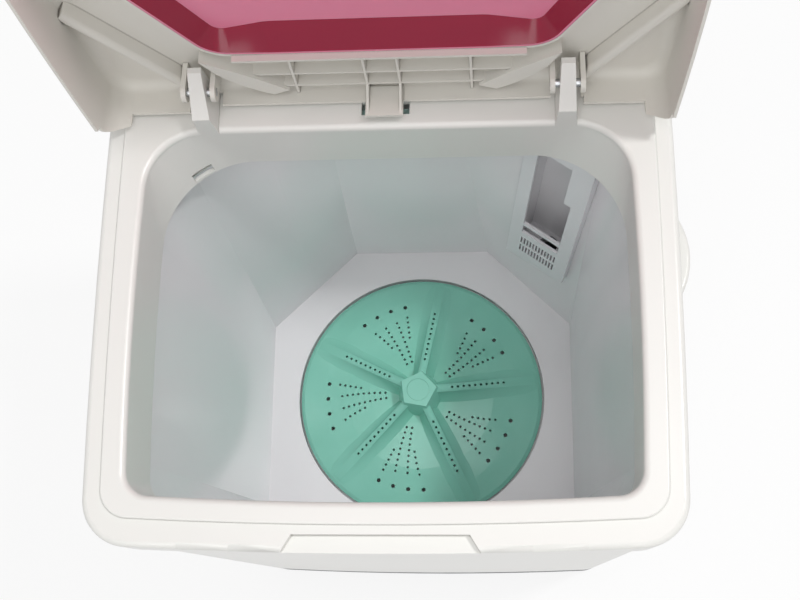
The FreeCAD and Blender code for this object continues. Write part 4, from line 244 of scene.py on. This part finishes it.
def dotted(material, centres, size):
    """Prints plain round dots on a material, placed along and up the control panel's face."""
    tree = material.node_tree
    bsdf = tree.nodes["Principled BSDF"]
    coordinates = add(tree, "ShaderNodeTexCoord")
    turn = Matrix.Rotation(PANEL_LEAN - math.pi / 2, 3, "X")
    upright = add(tree, "ShaderNodeMapping",
                  {"Vector": coordinates.outputs["Object"], "Location": -(turn @ PANEL_MIDDLE),
                   "Rotation": turn.to_euler()})
    face = add(tree, "ShaderNodeVectorMath", {0: upright.outputs["Vector"], 1: (1.0, 1.0, 0.0)},
               operation="MULTIPLY")
    colour = bsdf.inputs["Base Color"].links[0].from_socket
    for along, up in centres:
        away = add(tree, "ShaderNodeVectorMath", {0: face.outputs[0], 1: (along * MM, up * MM, 0.0)},
                   operation="DISTANCE")
        inside = add(tree, "ShaderNodeMath", {0: away.outputs["Value"], 1: size * MM}, operation="LESS_THAN")
        mix = add(tree, "ShaderNodeMix", {"Factor": inside.outputs[0], "A": colour, "B": linear(DOT_INK)},
                  data_type="RGBA")
        colour = mix.outputs["Result"]
    tree.links.new(colour, bsdf.inputs["Base Color"])
    return material


def dial_places():
    """Middles of the dots round the three knobs."""
    places = []
    for middle, first, last, count in DIALS:
        for k in range(count):
            angle = math.radians(first + (last - first) * k / (count - 1))
            places.append((middle + MARK_RING * math.sin(angle), MARK_RING * math.cos(angle)))
    return places


def pointer_places():
    """Middles of the dots at the tips of the knobs' grips."""
    return [(middle, POINTER_RISE) for middle, first, last, count in DIALS]


# Grains finer than about 1 mm would not show in the render, so each is drawn 0.8 to 2 mm wide
MATERIALS = {
    # ABS of the deck, cabinet and console, injection moulded and polished: a warm white with a slight
    # orange peel, and painted shade in the seams
    "shell_white": moulded(
        "moulded_white_abs", "#E3E2DE", "#E5E4E0", rough=(0.28, 0.30), grains=((1.6, 0.004),),
        blotch=240.0, hollow_shade=("#8C8880", 2.5), IOR=ABS),
    # Polypropylene of the lid, injection moulded: a duller, greyer white with a satin skin, and painted
    # shade along the ribs
    "lid_white": moulded(
        "satin_white_polypropylene", "#DEDBD4", "#E1DED7", rough=(0.42, 0.46), grains=((1.4, 0.008),),
        blotch=160.0, hollow_shade=("#85807A", 3.0), IOR=POLYPROPYLENE),
    "window_pink": pink_acrylic(),
    # Light grey polypropylene of the tub: smooth and waxy, with a soft sheen and slow waves in the wall
    "tub_grey": moulded(
        "grey_polypropylene", "#ECEBED", "#EEEDEF", rough=(0.20, 0.23), grains=((60.0, 0.10),),
        blotch=200.0, IOR=POLYPROPYLENE),
    # Filter cover: the same plastic with a plainer skin, and painted shade between the bars of its grille
    "filter_grey": moulded(
        "filter_polypropylene", "#E6E5E8", "#E9E8EB", rough=(0.30, 0.36), grains=((1.5, 0.006),),
        hollow_shade=("#77777B", 3.0), IOR=POLYPROPYLENE),
    # Mint polypropylene of the disc: glossy, with slow flow marks
    "pulsator_mint": moulded(
        "mint_polypropylene", "#88D0BC", "#8DD4C1", rough=(0.16, 0.20), grains=((40.0, 0.05),),
        blotch=60.0, IOR=POLYPROPYLENE),
    # Zinc plated steel of pins, shafts, screws and spring: a cool grey with fine upright drawing lines
    "steel": drawn_metal(
        "zinc_plated_steel", "#A9ACAF", "#BFC2C4", rough=(0.24, 0.36), grains=((0.8, 0.01),),
        along=(1.0, 1.0, 0.1)),
    # Die cast alloy of the pulleys and the bearing housing: dull, with a sandy skin
    "alloy": moulded(
        "die_cast_alloy", "#A3A5A7", "#B2B4B6", rough=(0.42, 0.58), grains=((1.2, 0.06),),
        blotch=14.0, Metallic=1.0),
    # Sintered bronze of the bushes: brown and open-grained
    "bronze": moulded(
        "sintered_bronze", "#8C6A3C", "#9F7D4E", rough=(0.42, 0.55), grains=((0.8, 0.05),),
        blotch=6.0, Metallic=1.0),
    # Black rubber of belt, feet, seals and plunger: matt, with a bloom
    "rubber_black": moulded(
        "black_rubber", "#151515", "#212121", rough=(0.60, 0.78), grains=((1.2, 0.04),),
        blotch=18.0, IOR=RUBBER),
    # Grey PVC of the hoses, extruded: half matt
    "hose_grey": moulded(
        "grey_pvc_hose", "#75777A", "#828487", rough=(0.40, 0.52), grains=((2.0, 0.03),),
        blotch=30.0, IOR=PVC),
    # Motor case: grey enamel sprayed on pressed steel, with an orange peel
    "motor_grey": moulded(
        "enamelled_motor_case", "#4A4C50", "#54575B", rough=(0.32, 0.46), grains=((1.5, 0.05),),
        blotch=20.0, IOR=ENAMEL),
    # Base: grey polypropylene with a coarse spark-eroded grain, which keeps it dull
    "base_grey": moulded(
        "grained_base_polypropylene", "#595B5E", "#626467", rough=(0.48, 0.62), grains=((1.0, 0.05),),
        IOR=POLYPROPYLENE),
    # Back cover: off-white polypropylene with a finer grain and a soft shine
    "cover_grey": moulded(
        "grained_cover_polypropylene", "#D3D2CE", "#D8D7D3", rough=(0.42, 0.52), grains=((1.0, 0.03),),
        IOR=POLYPROPYLENE),
    # Capacitor case: plain white polypropylene, smooth and half matt
    "capacitor_white": moulded(
        "capacitor_polypropylene", "#DADAD6", "#E0E0DC", rough=(0.32, 0.42), grains=((2.0, 0.02),),
        IOR=POLYPROPYLENE),
    # Nylon of the drain valve and the water fittings: milky white with a soft shine
    "fitting_white": moulded(
        "milky_nylon", "#DCDBD6", "#E3E2DD", rough=(0.32, 0.42), grains=((2.0, 0.02),),
        blotch=25.0, IOR=NYLON),
    # Panel: satin polycarbonate film with plain grey dots round the knobs
    "panel_grey": dotted(moulded(
        "satin_polycarbonate_film", "#C9CBCE", "#CED0D3", rough=(0.30, 0.38), grains=((1.0, 0.008),),
        IOR=POLYCARBONATE), dial_places(), MARK_SIZE),
    # Knobs: polished white ABS, shiny, with a filled dot at the tip of the grip
    "knob_white": dotted(moulded(
        "polished_white_abs", "#E6E5E0", "#EAE9E5", rough=(0.16, 0.22), grains=((1.6, 0.004),),
        IOR=ABS), pointer_places(), POINTER_SIZE),
    # Phenolic of timer, switch and crank, hot pressed: black and half matt
    "control_grey": moulded(
        "black_phenolic", "#2C2E30", "#36383A", rough=(0.42, 0.56), grains=((1.5, 0.03),),
        blotch=15.0, IOR=PHENOLIC),
}

for part in frame["record"]["subparts"]:
    mesh = nodes[part["node"]].data
    mesh.materials.clear()
    mesh.materials.append(MATERIALS[part["material_slot"]])


def valve_spring():
    """Coil of the drain valve, pressed between cap and plunger: a copy of the part with its seams welded,
    fixed to the machine in the part's place.
    """
    mesh = nodes["drain_valve_spring"].data.copy()
    work = bmesh.new()
    work.from_mesh(mesh)
    bmesh.ops.remove_doubles(work, verts=work.verts, dist=WELD)
    work.to_mesh(mesh)
    work.free()
    spring = bpy.data.objects.new("drain_valve_coil", mesh)
    bpy.context.scene.collection.objects.link(spring)
    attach(spring, "machine")
    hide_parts("drain_valve_spring")
    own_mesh(spring)


valve_spring()


def seen_directly(tree):
    """1 for rays that show the background: straight from the camera, by gloss or through the window."""
    path = add(tree, "ShaderNodeLightPath")
    gloss = add(tree, "ShaderNodeMath", {0: path.outputs["Is Camera Ray"], 1: path.outputs["Is Glossy Ray"]},
                operation="MAXIMUM")
    clear = add(tree, "ShaderNodeMath", {0: gloss.outputs[0], 1: path.outputs["Is Transmission Ray"]},
                operation="MAXIMUM")
    return clear.outputs[0]


def sky():
    """Weak even light all round, and plain white where the background is seen."""
    world = bpy.data.worlds.new("studio")
    bpy.context.scene.world = world
    world.use_nodes = True
    tree = world.node_tree
    backdrop = tree.nodes["Background"]
    backdrop.inputs["Color"].default_value = linear(WHITE)
    level = add(tree, "ShaderNodeMapRange",
                {"Value": seen_directly(tree), "To Min": SKY_LEVEL, "To Max": 1.0})
    tree.links.new(level.outputs["Result"], backdrop.inputs["Strength"])


def floor():
    """Plain pale floor that keeps the machine's shadow."""
    mesh = bpy.data.meshes.new("floor")
    work = bmesh.new()
    bmesh.ops.create_grid(work, x_segments=1, y_segments=1, size=FLOOR_REACH)
    work.to_mesh(mesh)
    work.free()
    ground = bpy.data.objects.new("floor", mesh)
    bpy.context.scene.collection.objects.link(ground)
    # Matt painted board: an even, pale grey-white
    pale = bpy.data.materials.new("pale_floor")
    pale.use_nodes = True
    tree = pale.node_tree
    bsdf = tree.nodes["Principled BSDF"]
    bsdf.inputs["Base Color"].default_value = linear(FLOOR_COLOUR)
    bsdf.inputs["Roughness"].default_value = FLOOR_ROUGH
    white = add(tree, "ShaderNodeEmission", {"Color": linear(WHITE), "Strength": 1.0})
    share = add(tree, "ShaderNodeMath", {0: seen_directly(tree), 1: FLOOR_WHITE}, operation="MULTIPLY")
    mix = add(tree, "ShaderNodeMixShader", {0: share.outputs[0], 1: bsdf.outputs[0], 2: white.outputs[0]})
    tree.links.new(mix.outputs[0], tree.nodes["Material Output"].inputs["Surface"])
    mesh.materials.append(pale)


def lamps():
    """Soft studio lamps, each turned to its aim."""
    for name, (place, aim, size, power) in LAMPS.items():
        lamp = bpy.data.lights.new(name, "AREA")
        lamp.size = size
        lamp.energy = power
        light = bpy.data.objects.new(name, lamp)
        bpy.context.scene.collection.objects.link(light)
        light.location = place
        light.rotation_euler = (Vector(aim) - Vector(place)).to_track_quat("-Z", "Y").to_euler()


def camera():
    """Camera where the photograph was taken."""
    lens = bpy.data.cameras.new("camera")
    lens.lens = CAMERA_LENS
    lens.shift_x = CAMERA_SHIFT
    lens.clip_end = CAMERA_REACH
    viewer = bpy.data.objects.new("camera", lens)
    bpy.context.scene.collection.objects.link(viewer)
    turn = (CAMERA_AIM - CAMERA_PLACE).to_track_quat("-Z", "Y").to_matrix().to_4x4()
    viewer.matrix_world = Matrix.Translation(CAMERA_PLACE) @ turn @ Matrix.Rotation(-CAMERA_ROLL, 4, "Z")
    bpy.context.scene.camera = viewer


bpy.context.scene.view_settings.view_transform = "Standard"
sky()
floor()
lamps()
camera()
